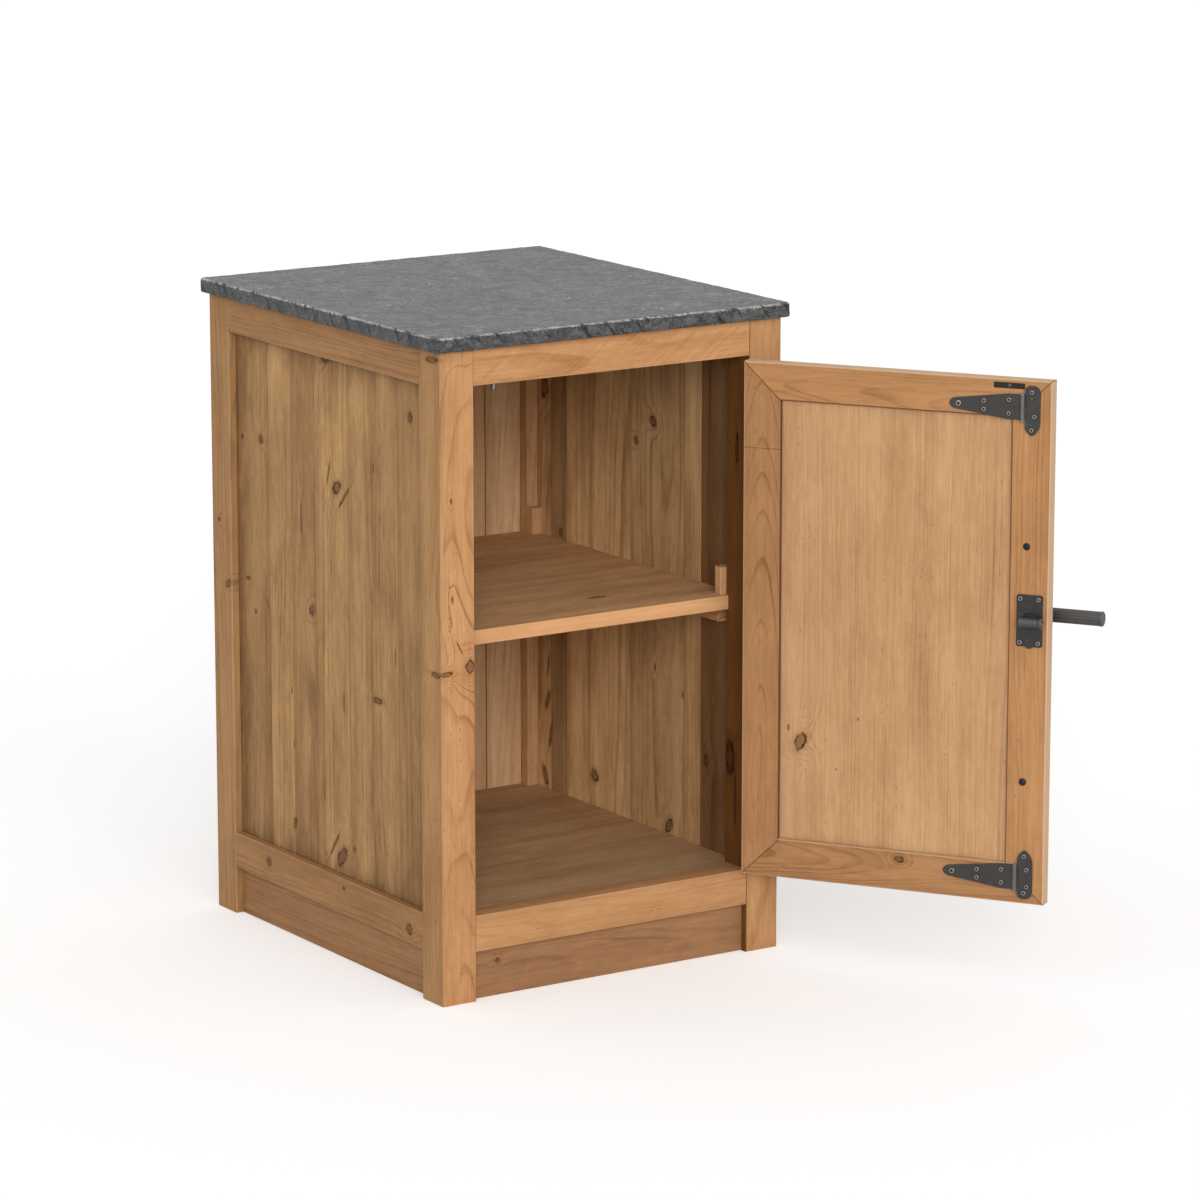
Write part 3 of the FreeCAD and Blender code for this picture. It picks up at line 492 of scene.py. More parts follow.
def knot_values(recipe, place, centre, turn, knots):
    """The growth warp of a piece's knots and the marks of the nearest one, for the pine group."""
    if not knots:
        return {}
    matrix = turn_matrix(turn)
    warp, nearest = 0.0, 9.0
    for knot in knots:
        into = np.abs(matrix.T @ knot.into)
        sideways = np.array([1.0, 1.0, 0.0]) - into
        reach = into * knot.depth + sideways * knot.half_width + np.array([0.0, 0.0, knot.half_length])
        out = recipe.use(KNOT, Place=place, Centre=matrix.T @ np.subtract(knot.point, centre), Reach=reach,
                         Slant=sideways * knot.slant, Swell=knot.swell)
        warp = out["Warp"] + warp
        nearest = recipe.math("MINIMUM", nearest, out["Distance"])
    marks = recipe.use(KNOT_MARKS, Place=place, Distance=nearest)
    return {"Warp": warp, **{name: marks[name] for name in ("Core", "Rim", "Halo")}}


def seed_of(text):
    """A place in the noise that depends only on a name."""
    total = sum((index + 1) * ord(letter) for index, letter in enumerate(text))
    return tuple(((total * step) % 977) / 97 for step in (7, 13, 29))


def with_field_shade_and_grime(recipe, place, half, color, amount, reach=0.045):
    """A colour with painted shade, partly grime, along the sides of its field, and a painted shadow line
    close to them.
    """
    shade_and_grime = recipe.use(FIELD_SHADE_AND_GRIME, Place=place, Half=half, Reach=reach)
    color = recipe.mix(shade_and_grime["Mask"] * amount, color, GRIME_AND_SHADE)
    return recipe.mix(shade_and_grime["Close"] * min(1.0, amount * 1.3), color, GRIME_AND_SHADE)


def on_side(recipe, place, half, direction, here, elsewhere=0.0):
    """One value on the side of a piece that faces this way, and another elsewhere."""
    reach = float(np.dot(np.abs(direction), half))
    outward = recipe.vector("DOT_PRODUCT", place, direction)
    return outward.ease(reach - 0.002, reach - 0.0006, elsewhere, here)


def with_sides(recipe, place, half, color, sides):
    """A colour with some sides of the piece tinted."""
    for direction, tint, amount, way in sides:
        color = recipe.mix(on_side(recipe, place, half, direction, amount), color, tint, way)
    return color


def stick_grain(recipe, node, turn, timber):
    """One stick's grain, its length along its own Z: (place on it, its half sizes, colour, the group)."""
    centre, half = lie_of([node], turn)
    place = recipe.place_on(centre, turn)
    knots = knot_values(recipe, place, centre, turn, timber.knots)
    light, dark = TONES[timber.tones]
    grain = recipe.use(PINE, Place=place, Seed=seed_of(node), Half=half, Light=light, Dark=dark,
                       Pith=timber.pith, **timber.values(), **knots)
    return place, half, with_sides(recipe, place, half, grain["Color"], timber.sides), grain


def finish_pine(finish, node, color, grain, relief):
    dress([node], finish.complete(color, grain, relief, Specular_IOR_Level=0.22))


def dress_stick(node, turn, tones, **cut):
    """Pine for one solid stick."""
    finish = Finish("pine_" + node)
    timber = Timber(tones, **cut)
    _, _, color, grain = stick_grain(finish, node, turn, timber)
    finish_pine(finish, node, color, grain, timber.relief)


def stepped(recipe, x, edges, values):
    """A value that is values[i] between edges[i] and edges[i + 1]: the first plus each step passed."""
    total = values[0]
    for edge, before, after in zip(edges[1:-1], values, values[1:]):
        total = recipe.math("GREATER_THAN", x, edge) * (after - before) + total
    return total


def dress_boards(node, turn, shares, field, darkness, timber):
    """Pine for a run of boards side by side in one node.

    shares are the boards' widths from one side of the run to the other, and field is half of what shows,
    along X and Z. darkness, painted shade included, says how dark each board is, and is drawn by chance where
    it isn't given.
    """
    finish = Finish("pine_" + node)
    centre, half = lie_of([node], turn)
    place = finish.place_on(centre, turn)
    knots = knot_values(finish, place, centre, turn, timber.knots)
    x, y, z = finish.split(place)
    steps = np.cumsum((0,) + shares) / sum(shares)
    edges = [float(step * field[0] * 2 - field[0]) for step in steps]
    boards = list(zip(edges, edges[1:]))
    number = stepped(finish, x, edges, list(range(len(boards))))
    middle = stepped(finish, x, edges, [(low + high) / 2 for low, high in boards])
    half_width = stepped(finish, x, edges, [(high - low) / 2 for low, high in boards])
    on_board = finish.join(x - middle, y, z)
    chance = finish.chance(number + seed_of(node)[0])
    seed = finish.vector("MULTIPLY", chance["Color"], (9.0, 9.0, 9.0))
    pith = finish.vector("MULTIPLY_ADD", chance["Color"], (0.2, 0.0, 0.16), (-0.1, timber.pith[1], -0.08))
    tone = stepped(finish, x, edges, darkness) if darkness else chance["Value"] * 0.2
    # On a tinted side most of the boards' darkness, painted shadow included, is left off.
    for side in timber.sides:
        tone = tone * on_side(finish, place, half, side[0], 0.3, 1.0)
    (light, dark), (deep_light, deep_dark) = TONES[timber.tones], TONES["deep"]
    grain = finish.use(PINE, Place=on_board, Seed=seed, Half=finish.join(half_width, half[1], half[2]),
                       Light=finish.mix(tone, light, deep_light), Dark=finish.mix(tone, dark, deep_dark),
                       Pith=pith, **timber.values(), **knots)

    gap = half_width - finish.math("ABSOLUTE", finish.split(on_board)[0])
    drift = finish.noise(finish.vector("ADD", on_board, seed), (60, 60, 5), 3.0)
    beside = (drift - 0.55) * 0.09 + gap
    color = finish.mix(beside.fade(0.0, 0.012, timber.stain), grain["Color"], dark)
    color = finish.mix(gap.fade(0.0003, 0.0016, timber.joint), color, GRIME_AND_SHADE)
    # Painted shade, partly grime, along the field's sides, with a painted shadow line next to the frame.
    if timber.shade_and_grime:
        color = with_field_shade_and_grime(finish, place, (field[0], 1.0, field[1]), color, timber.shade_and_grime)
    color = with_sides(finish, place, half, color, timber.sides)
    finish_pine(finish, node, color, grain, timber.relief)


def dress_frame():
    """Posts, rails and plinths, each cut from its own stick."""
    front_knots = knots_into(
        REARWARD,
        (-0.225, -0.022, 0.458, 0.006, 0.008, 0.0, 5.0), (-0.252, -0.022, 0.551, 0.0012, 0.004, 0.0, 3.0),
        (-0.241, -0.022, 0.485, 0.001, 0.006, 0.5, 4.0),
        (-0.224, 0.01, 0.478, 0.013, 0.042, 0.25, 7.0, 0.013),
        (-0.247, 0.012, 0.66, 0.006, 0.06, 0.0, 2.0, 0.013),
        (-0.24, 0.012, 0.28, 0.01, 0.06, 0.0, 2.5, 0.013),
        (-0.253, -0.022, 0.682, 0.0012, 0.0025), (-0.262, -0.022, 0.452, 0.009, 0.0028, -0.5))
    side_knots = knots_into(RIGHTWARD, (-0.27, -0.009, 0.45, 0.01, 0.0034, 0.3),
                            (-0.27, -0.004, 0.868, 0.012, 0.004, 0.6))
    # The post's left side is tinted darker: painted shade.
    dress_stick("post_front_left", UPRIGHT, "front", ring=0.0058, pith=(0.006, 0.05, 0.04), early=0.66,
                banding=0.45, flecks=1.0, knots=front_knots + side_knots,
                sides=[(LEFTWARD, shade(211, 219, 210), 0.6, "MULTIPLY")])
    knots = knots_into(RIGHTWARD, (0.218, 0.019, 0.268, 0.01, 0.022), (0.218, 0.006, 0.21, 0.002, 0.034),
                       (0.218, 0.006, 0.7, 0.003, 0.02))
    # The post's inner face is darkened: painted shadow from the door, partly darker wood.
    dress_stick("post_front_right", UPRIGHT, "low_front", ring=0.006, pith=(-0.01, 0.04, -0.03), knots=knots,
                sides=[(LEFTWARD, shade(151, 135, 100), 1.0, "MULTIPLY")])
    knots = knots_into(RIGHTWARD, (-0.27, 0.569, 0.562, 0.003, 0.003),
                       (-0.27, 0.545, 0.475, 0.007, 0.005, 0.5), (-0.27, 0.596, 0.35, 0.003, 0.004))
    dress_stick("post_back_left", UPRIGHT, "side", ring=0.008, contrast=0.4, banding=0.45, knots=knots)
    dress_stick("post_back_right", UPRIGHT, "inner", ring=0.009, contrast=0.4)
    low_knots = knots_into(RIGHTWARD, (-0.27, 0.441, 0.096, 0.005, 0.005),
                           (-0.27, 0.064, 0.088, 0.006, 0.006), (-0.27, 0.235, 0.105, 0.002, 0.003))
    for side, knots in (("left", low_knots), ("right", ())):
        dress_stick("rail_%s_top" % side, BACKWARD, "rail", ring=0.006, contrast=0.45, arris=0.35)
        dress_stick("rail_%s_bottom" % side, BACKWARD, "rail", banding=0.45, knots=knots)
        dress_stick("plinth_" + side, BACKWARD, "plinth", ring=0.006, banding=0.4, arris=0.25)
    dress_stick("rail_front_top", ACROSS, "front", ring=0.009, contrast=0.3, banding=0.4, saw=0.55)
    dress_stick("rail_front_bottom", ACROSS, "low_front", contrast=0.45, banding=0.4, saw=0.12)
    for level in ("top", "bottom"):
        dress_stick("rail_back_" + level, ACROSS, "side", ring=0.008, contrast=0.4)
    dress_stick("plinth_front", ACROSS, "front_plinth", ring=0.006, arris=0.25,
                knots=knots_into(REARWARD, (-0.178, -0.011, 0.048, 0.003, 0.003)))
    dress_stick("plinth_back", ACROSS, "side", ring=0.007, arris=0.25)


# The walls' boards, from the front backward and on the back wall from the left: how wide and how dark each is
LEFT_SHARES = (74, 68, 60, 90, 63, 63, 88)
LEFT_DARKNESS = (0.32, 0.17, 0.11, 0.03, 0.28, 0.0, 0.34)
RIGHT_SHARES = (86, 42, 134, 105, 61, 40, 38)
# The right wall's first board is made dark as a painted shadow beside the front post.
RIGHT_DARKNESS_AND_SHADE = (0.85, 0.25, 0.28, 0.0, 0.02, 0.5, 0.14)
BACK_SHARES = (80, 66, 75, 70, 85, 60)
FLOOR_SHARES = (1,) * 6
FIELD_HALF_HEIGHT = 0.357
LEFT_OUTER_FACE = -0.259
RIGHT_INNER_FACE = 0.235


def dress_walls():
    """Upright boards on three sides. The run's own X lies along the wall."""
    half_depth = lie_of(["left_wall_boards"], UPRIGHT)[1][1]
    half_width = lie_of(["back_wall_boards"], UPRIGHT)[1][0]
    side_field = (half_depth, FIELD_HALF_HEIGHT)
    knots = wall_knots(LEFT_OUTER_FACE, [
        (0.519, 0.686, 0.003, 0.003), (0.468, 0.69, 0.005, 0.005), (0.284, 0.672, 0.0016, 0.013, 0.25),
        (0.262, 0.655, 0.008, 0.008, 0.5), (0.243, 0.645, 0.0025, 0.012, 0.9), (0.07, 0.78, 0.005, 0.006),
        (0.289, 0.829, 0.01, 0.006, 0.3), (0.166, 0.696, 0.0012, 0.006), (0.507, 0.488, 0.004, 0.002, 0.6),
        (0.488, 0.444, 0.0025, 0.0025), (0.332, 0.474, 0.005, 0.006, 0.2), (0.249, 0.362, 0.0012, 0.012),
        (0.158, 0.381, 0.01, 0.0035), (0.385, 0.163, 0.004, 0.007, 0.3),
        (0.276, 0.158, 0.0022, 0.014, 0.7), (0.258, 0.142, 0.009, 0.012, 0.6), (0.224, 0.16, 0.003, 0.003),
        (0.359, 0.595, 0.0012, 0.018), (0.455, 0.462, 0.0014, 0.006, -0.5), (0.39, 0.35, 0.001, 0.004),
        (0.386, 0.275, 0.001, 0.005), (0.112, 0.45, 0.001, 0.01)])
    # The left wall's field gets painted shade, partly grime, along its sides under the frame.
    dress_boards("left_wall_boards", ALONG_WALL, LEFT_SHARES, side_field, LEFT_DARKNESS, Timber(
        "left_wall", ring=0.008, pith=(0.0, 0.06, 0.0), contrast=0.36, banding=0.6, streaks=0.35, flecks=0.12,
        arris=0.0, knots=knots, shade_and_grime=0.4, stain=0.2, joint=0.35))
    knots = wall_knots(RIGHT_INNER_FACE, [
        (0.515, 0.708, 0.008, 0.012), (0.278, 0.668, 0.004, 0.005), (0.235, 0.701, 0.007, 0.007, -0.3),
        (0.473, 0.504, 0.004, 0.005), (0.384, 0.163, 0.008, 0.008), (0.193, 0.13, 0.007, 0.009, 0.4),
        (0.101, 0.243, 0.005, 0.006), (0.508, 0.25, 0.004, 0.012, 0.3), (0.5, 0.2, 0.003, 0.016, 0.2),
        (0.515, 0.135, 0.005, 0.012, -0.3), (0.507, 0.3, 0.0015, 0.012, 0.2),
        (0.229, 0.352, 0.0015, 0.004), (0.16, 0.325, 0.0015, 0.004), (0.29, 0.458, 0.004, 0.003)])
    # Inside, these boards carry painted light in their tones and a painted shadow on the first board; the
    # outer face is tinted back to the plain wood.
    dress_boards("right_wall_boards", ALONG_WALL, RIGHT_SHARES, side_field, RIGHT_DARKNESS_AND_SHADE, Timber(
        "right_wall", ring=0.009, pith=(0.0, 0.05, 0.0), contrast=0.4, streaks=0.3, flecks=0.1, arris=0.0,
        knots=knots, stain=0.3, sides=[(FORWARD, shade(211, 198, 180), 1.0, "MULTIPLY")]))
    # Inside, these boards carry painted light in their tones; the outer face is tinted back to the plain
    # wood.
    dress_boards("back_wall_boards", UPRIGHT, BACK_SHARES, (half_width, FIELD_HALF_HEIGHT), None, Timber(
        "back_wall", ring=0.009, pith=(0.0, 0.05, 0.0), contrast=0.4, banding=0.45, arris=0.0, stain=0.3,
        sides=[(REARWARD, shade(205, 188, 160), 1.0, "MULTIPLY")]))


def dress_inside():
    """Floor, shelf, cleats and blocks."""
    field = (lie_of(["floor_boards"], BACKWARD)[1][2], lie_of(["floor_boards"], ACROSS)[1][2])
    dress_boards("floor_boards", ALONG_FLOOR, FLOOR_SHARES, field, None, Timber(
        "floor", ring=0.011, pith=(0.0, 0.05, 0.0), contrast=0.3, arris=0.0, saw=0.2, stain=0.25, joint=0.5))
    knots = knots_into(UPWARD, (0.06, 0.11, 0.494, 0.004, 0.012), (-0.14, 0.3, 0.494, 0.003, 0.012))
    # The shelf's front edge is tinted lighter: painted light on the face towards the opening.
    dress_stick("shelf", ACROSS, "inner", ring=0.012, pith=(0.05, 0.1, 0.0), contrast=0.3, banding=0.55,
                flecks=0.3, knots=knots, sides=[(FORWARD, shade(232, 172, 116), 0.45, "MIX")])
    for side in ("left", "right"):
        dress_stick("shelf_cleat_" + side, BACKWARD, "inner")
        dress_stick("floor_cleat_" + side, BACKWARD, "inner")
    dress_stick("shelf_blocks", UPRIGHT, "inner", ring=0.004, arris=0.0)


def on_shut_door(x, z):
    """A point of the door's inner face, given by where it lies when the door is shut."""
    pivot = np.array([HINGE_PLACE[0], HINGE_PLACE[1], 0.0])
    return tuple(turn_matrix(DOOR_UPRIGHT) @ (np.array([x, 0.0, z]) - pivot) + pivot)


MITRE_SLOPE = 0.96
BUTT_HEIGHT = 0.712
PANEL_HOUSING = 0.008


def dress_door_framing(node, turn, tones, butt=None, **cut):
    """Pine for a mitred piece of the door's frame. butt is the height of a joint across it."""
    finish = Finish("pine_" + node)
    timber = Timber(tones, **cut)
    _, _, color, grain = stick_grain(finish, node, turn, timber)
    middle, half = lie_of(["door_stile_latch_side", "door_stile_hinge_side"], DOOR_UPRIGHT)
    on_door = finish.place_on(middle, DOOR_UPRIGHT)
    seam = finish.use(MITRE, Place=on_door, Half=half, Slope=MITRE_SLOPE)["Mask"]
    if butt:
        gap = finish.math("ABSOLUTE", finish.split(on_door)[2] - (butt - middle[2]))
        seam = finish.math("MAXIMUM", seam, gap.fade(0.0003, 0.0009, 0.7))
    color = finish.mix(seam * 0.7, color, BARK_BROWN)
    finish_pine(finish, node, color, grain, timber.relief)


def dress_door():
    """The mitred frame, pale on its free outer sides as sanded wood with a painted highlight, with painted
    shade towards the panel, and the light panel.
    """
    def faces(outer, inner):
        # The outer side is sanded wood with a painted highlight, the side towards the panel painted shade.
        return [(outer, SANDED_AND_HIGHLIGHT, 0.6, "MIX"), (inner, shade(146, 118, 90), 1.0, "MULTIPLY")]

    def door_knots(*rows):
        inward = tuple(turn_matrix(DOOR_UPRIGHT) @ np.array(REARWARD))
        return [Knot(on_shut_door(x, z), inward, *cut) for x, z, *cut in rows]

    dress_door_framing("door_stile_hinge_side", DOOR_UPRIGHT, "stile", BUTT_HEIGHT, ring=0.006,
                       pith=(0.004, 0.034, 0.11), bow=0.006, early=0.74, banding=0.35, streaks=0.3,
                       flecks=0.3, sides=faces(RIGHTWARD, LEFTWARD))
    dress_door_framing("door_stile_latch_side", DOOR_UPRIGHT, "latch_stile", ring=0.0045,
                       pith=(0.03, 0.04, 0.01), banding=0.4, flecks=0.3, sides=faces(LEFTWARD, RIGHTWARD))
    dress_door_framing("door_rail_top", DOOR_ACROSS, "latch_stile", ring=0.0045, pith=(0.012, 0.05, 0.06),
                       banding=0.4, sides=faces(LEFTWARD, RIGHTWARD))
    # Both side faces of the bottom rail get the sanded wood's painted highlight.
    dress_door_framing("door_rail_bottom", DOOR_ACROSS, "stile", pith=(-0.01, 0.05, -0.08), banding=0.4,
                       knots=door_knots((-0.012, 0.163, 0.004, 0.006, 0.0, 3.0)),
                       sides=[(RIGHTWARD, SANDED_AND_HIGHLIGHT, 0.4, "MIX"), (LEFTWARD, SANDED_AND_HIGHLIGHT, 0.35, "MIX")])

    finish = Finish("pine_door_panel")
    knots = door_knots((0.133, 0.312, 0.0075, 0.011, 0.3, 5.0), (0.15, 0.33, 0.0012, 0.003),
                       (0.05, 0.35, 0.0012, 0.002, 0.0, 0.5), (0.081, 0.278, 0.001, 0.0012, 0.0, 0.5))
    panel = Timber("panel", ring=0.0042, pith=(0.45, 0.02, 0.0), early=0.6, banding=0.45, streaks=0.6,
                   flecks=0.15, arris=0.0, relief=0.0003, knots=knots)
    place, half, color, grain = stick_grain(finish, "door_panel", DOOR_UPRIGHT, panel)
    shown = (half[0] - PANEL_HOUSING, 1.0, half[2] - PANEL_HOUSING)
    # Painted shadow along the panel's sides where it meets the frame.
    color = with_field_shade_and_grime(finish, place, shown, color, 0.14, reach=0.014)
    finish_pine(finish, "door_panel", color, grain, panel.relief)


def make_iron_group():
    """Blackened iron: a fine orange-peel skin, faint brushing, brown traces and rubbed spots."""
    recipe, given = shader_group("black_iron", {
        "Place": ORIGIN, "Seed": ORIGIN, "Iron": grey(64), "Rubbed": grey(124)})
    seeded = recipe.vector("ADD", given["Place"], given["Seed"])
    skin = recipe.noise(seeded, (1300, 1300, 1300))
    patch = recipe.noise(seeded, (90, 90, 90), 4.0, 0.6)
    brush = recipe.noise(seeded, (60, 60, 900))
    color = recipe.mix(patch.ease(0.55, 0.75) * 0.35, given["Iron"], given["Rubbed"])
    color = recipe.mix(patch.ease(0.42, 0.3, 0.0, 0.2), color, shade(74, 52, 40))
    return recipe.close(Color=color, Roughness=patch * 0.22 + 0.34, Height=brush * 0.3 + skin)


IRON = make_iron_group()
IRON_RELIEF = 0.00004


def metal(name, iron, lightened, metallic, axle=None):
    """A metal finish. axle is a point of an upright pin: the knuckles round it get a painted highlight."""
    finish = Finish(name)
    here = finish.add("ShaderNodeTexCoord")["Object"]
    if axle:
        x, y, _ = finish.split(finish.vector("SUBTRACT", here, axle))
        away = finish.vector("LENGTH", finish.join(x, y, 0.0))
        # A painted highlight on the hinge knuckles round the pin.
        iron = finish.mix(away.fade(0.0033, 0.0038, 0.4), iron, shade(168, 166, 164))
    skin = finish.use(IRON, Place=here, Seed=seed_of(name), Iron=iron, Rubbed=lightened)
    return finish.complete(skin["Color"], skin, IRON_RELIEF, Metallic=metallic)


def screw_finish(name, turn, seat_node, way_out):
    """A plated screw with painted shade in its recess: brightness follows the height above the plate that it
    sits on.
    """
    finish = Finish(name)
    heights = (corner_points(seat_node) @ turn_matrix(turn))[:, 1] * way_out
    rise = finish.split(finish.place_on(turn=turn))[1] * way_out - float(heights.max())
    here = finish.add("ShaderNodeTexCoord")["Object"]
    skin = finish.use(IRON, Place=here, Seed=seed_of(name), Iron=shade(150, 142, 132),
                      Rubbed=shade(190, 184, 174))
    # Painted shade on the screw's lowest parts: its recess and the foot of its head.
    color = finish.mix(rise.ease(0.0008, 0.0013), shade(38, 34, 32), skin["Color"])
    return finish.complete(color, skin, None, Metallic=0.9)


def dress_metal():
    """Hinges, latch, catch and screws."""
    inner_axle = lie_of(["inner_hinge_pins"], UPRIGHT)[0]
    for where, start, axle in (("outer", "hinge_", HINGE_PLACE), ("inner", "inner_", inner_axle)):
        iron = metal("black_iron_%s_hinges" % where, shade(75, 73, 72), shade(112, 110, 108), 0.75, axle)
        dress([start + part + level for part in ("leaf_", "strap_") for level in ("top", "bottom")], iron)
    dress(["latch_plate_inner", "latch_plate_outer", "latch_rose_inner", "latch_rose_outer"],
          metal("black_iron_plates", shade(66, 65, 65), shade(104, 102, 100), 0.75))
    dress(["latch_lever_inner", "latch_grip_outer", "catch_plate_screw"],
          metal("black_iron_levers", shade(92, 91, 91), shade(140, 139, 138), 0.85))
    dress(["hinge_pins", "inner_hinge_pins", "latch_spindle", "catch_peg", "catch_screws"],
          metal("turned_steel", shade(150, 148, 146), shade(190, 188, 186), 1.0))
    dress(["catch_body", "catch_plate", "stile_cap_screw", "door_bumper"],
          metal("black_fittings", shade(30, 28, 27), shade(60, 56, 52), 0.3))
    dress(["hinge_leaf_screws"], screw_finish("leaf_screws", UPRIGHT, "hinge_leaf_top", -1.0))
    dress(["hinge_strap_screws"], screw_finish("strap_screws", DOOR_UPRIGHT, "door_panel", -1.0))
    dress(["inner_hinge_screws"], screw_finish("inner_screws", DOOR_UPRIGHT, "latch_plate_inner", 1.0))
    dress(["latch_plate_screws"], screw_finish("plate_screws", DOOR_UPRIGHT, "latch_plate_inner", 1.0))


def make_stone_group():
    """Riven slate: clouds, bent creases along the lines where warped noise crosses its middle, grit, darker
    dressed sides with slanting strokes of painted shadow, and a painted highlight on the top arris."""
    recipe, given = shader_group("riven_slate", {"Place": ORIGIN, "Half": UNIT_BOX})
    place = given["Place"]
    drift = recipe.add("ShaderNodeTexNoise", {
        "Vector": recipe.vector("MULTIPLY", place, (30.0, 30.0, 30.0)), "Scale": 1.0, "Detail": 3.0})["Color"]
    bent = recipe.vector("MULTIPLY_ADD", drift, (0.05, 0.05, 0.02), place)
    cloud = recipe.noise(place, (16, 16, 16), 5.0, 0.65)
    layers = recipe.noise(bent, (54, 72, 64), 4.0, 0.55)
    other = recipe.noise(bent, (118, 96, 110), 3.0, 0.6)
    grit = recipe.noise(place, (1000, 1000, 1000))
    away = recipe.math("ABSOLUTE", layers - 0.5)
    sparse = recipe.noise(place, (24, 24, 24)).ease(0.42, 0.6)
    vein = away.fade(0.004, 0.036) * sparse
    hair = recipe.math("ABSOLUTE", other - 0.53).fade(0.0, 0.04) * cloud.ease(0.46, 0.58)
    amount = 0.5
    for grain, weight in ((cloud, 1.3), (layers, 1.6), (other, 1.2), (grit, 0.4)):
        amount = (grain - 0.5) * weight + amount
    color = recipe.mix(amount, grey(80), grey(127))
    color = recipe.mix(vein * 0.7, color, shade(172, 171, 170))
    color = recipe.mix(hair * 0.5, color, grey(58))

    # The dressed sides, whose strokes of painted shadow slant one way on the long sides and the other way on
    # the short ones
    inset_x, inset_y, _ = recipe.inset(place, given["Half"])
    x, y, z = recipe.split(place)
    side = recipe.math("MINIMUM", inset_x, inset_y).fade(0.0012, 0.0034)
    lean = recipe.math("GREATER_THAN", inset_y, inset_x) * -1.5 + 0.8
    slanted = z * lean + (x + y)
    strokes = recipe.noise(recipe.join(slanted * 62.0, z * 24.0, 0.0), roughness=0.6)
    stroke = strokes.ease(0.54, 0.66)
    color = recipe.mix(side, color, recipe.mix(stroke, grey(196), grey(92)), "MULTIPLY")

    # A painted highlight along the top arris, broken where the strokes cross it.
    edge = recipe.use(EDGE, Place=place, Half=given["Half"])["Distance"]
    ragged = (other - 0.5) * 0.006 + edge
    lightened = ragged.fade(0.0014, 0.0036) * strokes.ease(0.52, 0.62, 0.9, 0.15)
    upper = recipe.math("GREATER_THAN", z, 0.0)
    color = recipe.mix(lightened * upper, color, shade(190, 189, 188))
    height = away.fade(0.0, 0.07) * 0.4
    for part, weight in ((layers, 0.8), (other, 0.5), (grit, 0.05), (stroke * side, -0.5)):
        height = part * weight + height
    return recipe.close(Color=color, Roughness=layers * 0.3 + 0.38, Height=height)


def put(name, data):
    """A new object in the scene."""
    made = bpy.data.objects.new(name, data)
    bpy.context.scene.collection.objects.link(made)
    return made


def new_mesh(name, points, faces, material):
    """A mesh from an array of points and a list of faces."""
    mesh = bpy.data.meshes.new(name)
    mesh.from_pydata(points.tolist(), [], faces)
    mesh.materials.append(material)
    return mesh


def capped_rings(rows, columns):
    """Faces of a stack of closed rings, with a fan to one more point before the first and after the last."""
    step = np.arange(columns)
    following = (step + 1) % columns
    row = np.arange(rows - 1)[:, None] * columns
    here, right = row + step, row + following
    sides = np.stack([here, here + columns, right + columns, right], -1).reshape(-1, 4).tolist()
    last = (rows - 1) * columns
    first_fan = np.stack([np.full(columns, rows * columns), step, following], -1).tolist()
    last_fan = np.stack([np.full(columns, rows * columns + 1), last + following, last + step], -1).tolist()
    return sides + first_fan + last_fan


def rounded_outline(half_x, half_y, corner, count):
    """Points and outward normals round a rectangle with round corners, evenly spaced by length."""
    sides = np.array([2 * (half_y - corner), 2 * (half_x - corner)] * 2)
    arc = math.pi / 2 * corner
    starts = np.cumsum(np.concatenate([[0], np.stack([sides, np.full(4, arc)], 1).ravel()]))
    run = np.linspace(0, starts[-1], count, endpoint=False)
    points = np.zeros((count, 2))
    normals = np.zeros((count, 2))
    centres = np.array([[1, 1], [-1, 1], [-1, -1], [1, -1]]) * [half_x - corner, half_y - corner]
    for side in range(4):
        angle = side * math.pi / 2
        out = np.array([math.cos(angle), math.sin(angle)])
        along = np.array([-out[1], out[0]])
        on_side = (run >= starts[2 * side]) & (run < starts[2 * side + 1])
        back = centres[side] - along * sides[side]
        points[on_side] = back + out * corner + along * (run[on_side] - starts[2 * side])[:, None]
        normals[on_side] = out
        on_arc = (run >= starts[2 * side + 1]) & (run < starts[2 * side + 2])
        turn = angle + (run[on_arc] - starts[2 * side + 1]) / corner
        normals[on_arc] = np.stack([np.cos(turn), np.sin(turn)], 1)
        points[on_arc] = centres[side] + corner * normals[on_arc]
    return points, normals, run, starts[-1]


def dressed_edge(run, length, down, random):
    """How deep a mason's chisel has taken each point of the slab's edge, in metres.

    The edge is a row of facets between slanting cuts. A point's facet is the gap between cuts that its
    slanted coordinate falls in. The depth is the facet's own set-back and tilt, or where it is deeper, the
    cut's: its depth times a bell of the distance from its line.
    """
    count = 96
    cuts = (np.arange(count) + random.uniform(-0.36, 0.36, count)) * length / count
    lean = np.where((cuts > length * 0.5) & (cuts < length * 0.77), 0.6, -0.5)
    lean = lean + random.uniform(-0.5, 0.5, count)
    deep = random.uniform(0.0005, 0.0019, count)
    wide = random.uniform(0.0012, 0.0030, count)
    low_end = random.uniform(0.007, 0.026, count)
    set_back = random.uniform(0.0, 0.0009, count)
    tilt = random.uniform(-0.08, 0.08, count)
    slanted = (run[None, :] - np.interp(run, cuts, lean, period=length)[None, :] * down) % length
    after = np.searchsorted(cuts, slanted) % count
    before = (after - 1) % count
    from_before = (slanted - cuts[before]) % length
    to_after = (cuts[after] - slanted) % length
    flat = set_back[before] + tilt[before] * (from_before - to_after) / 2
    depth = np.clip(flat, 0, 0.0016)
    for gap, cut in ((from_before, before), (to_after, after)):
        faded = np.clip((low_end[cut] - down) / 0.006, 0, 1)
        depth = np.maximum(depth, deep[cut] * np.exp(-((gap / wide[cut]) ** 2)) * faded)
    return depth


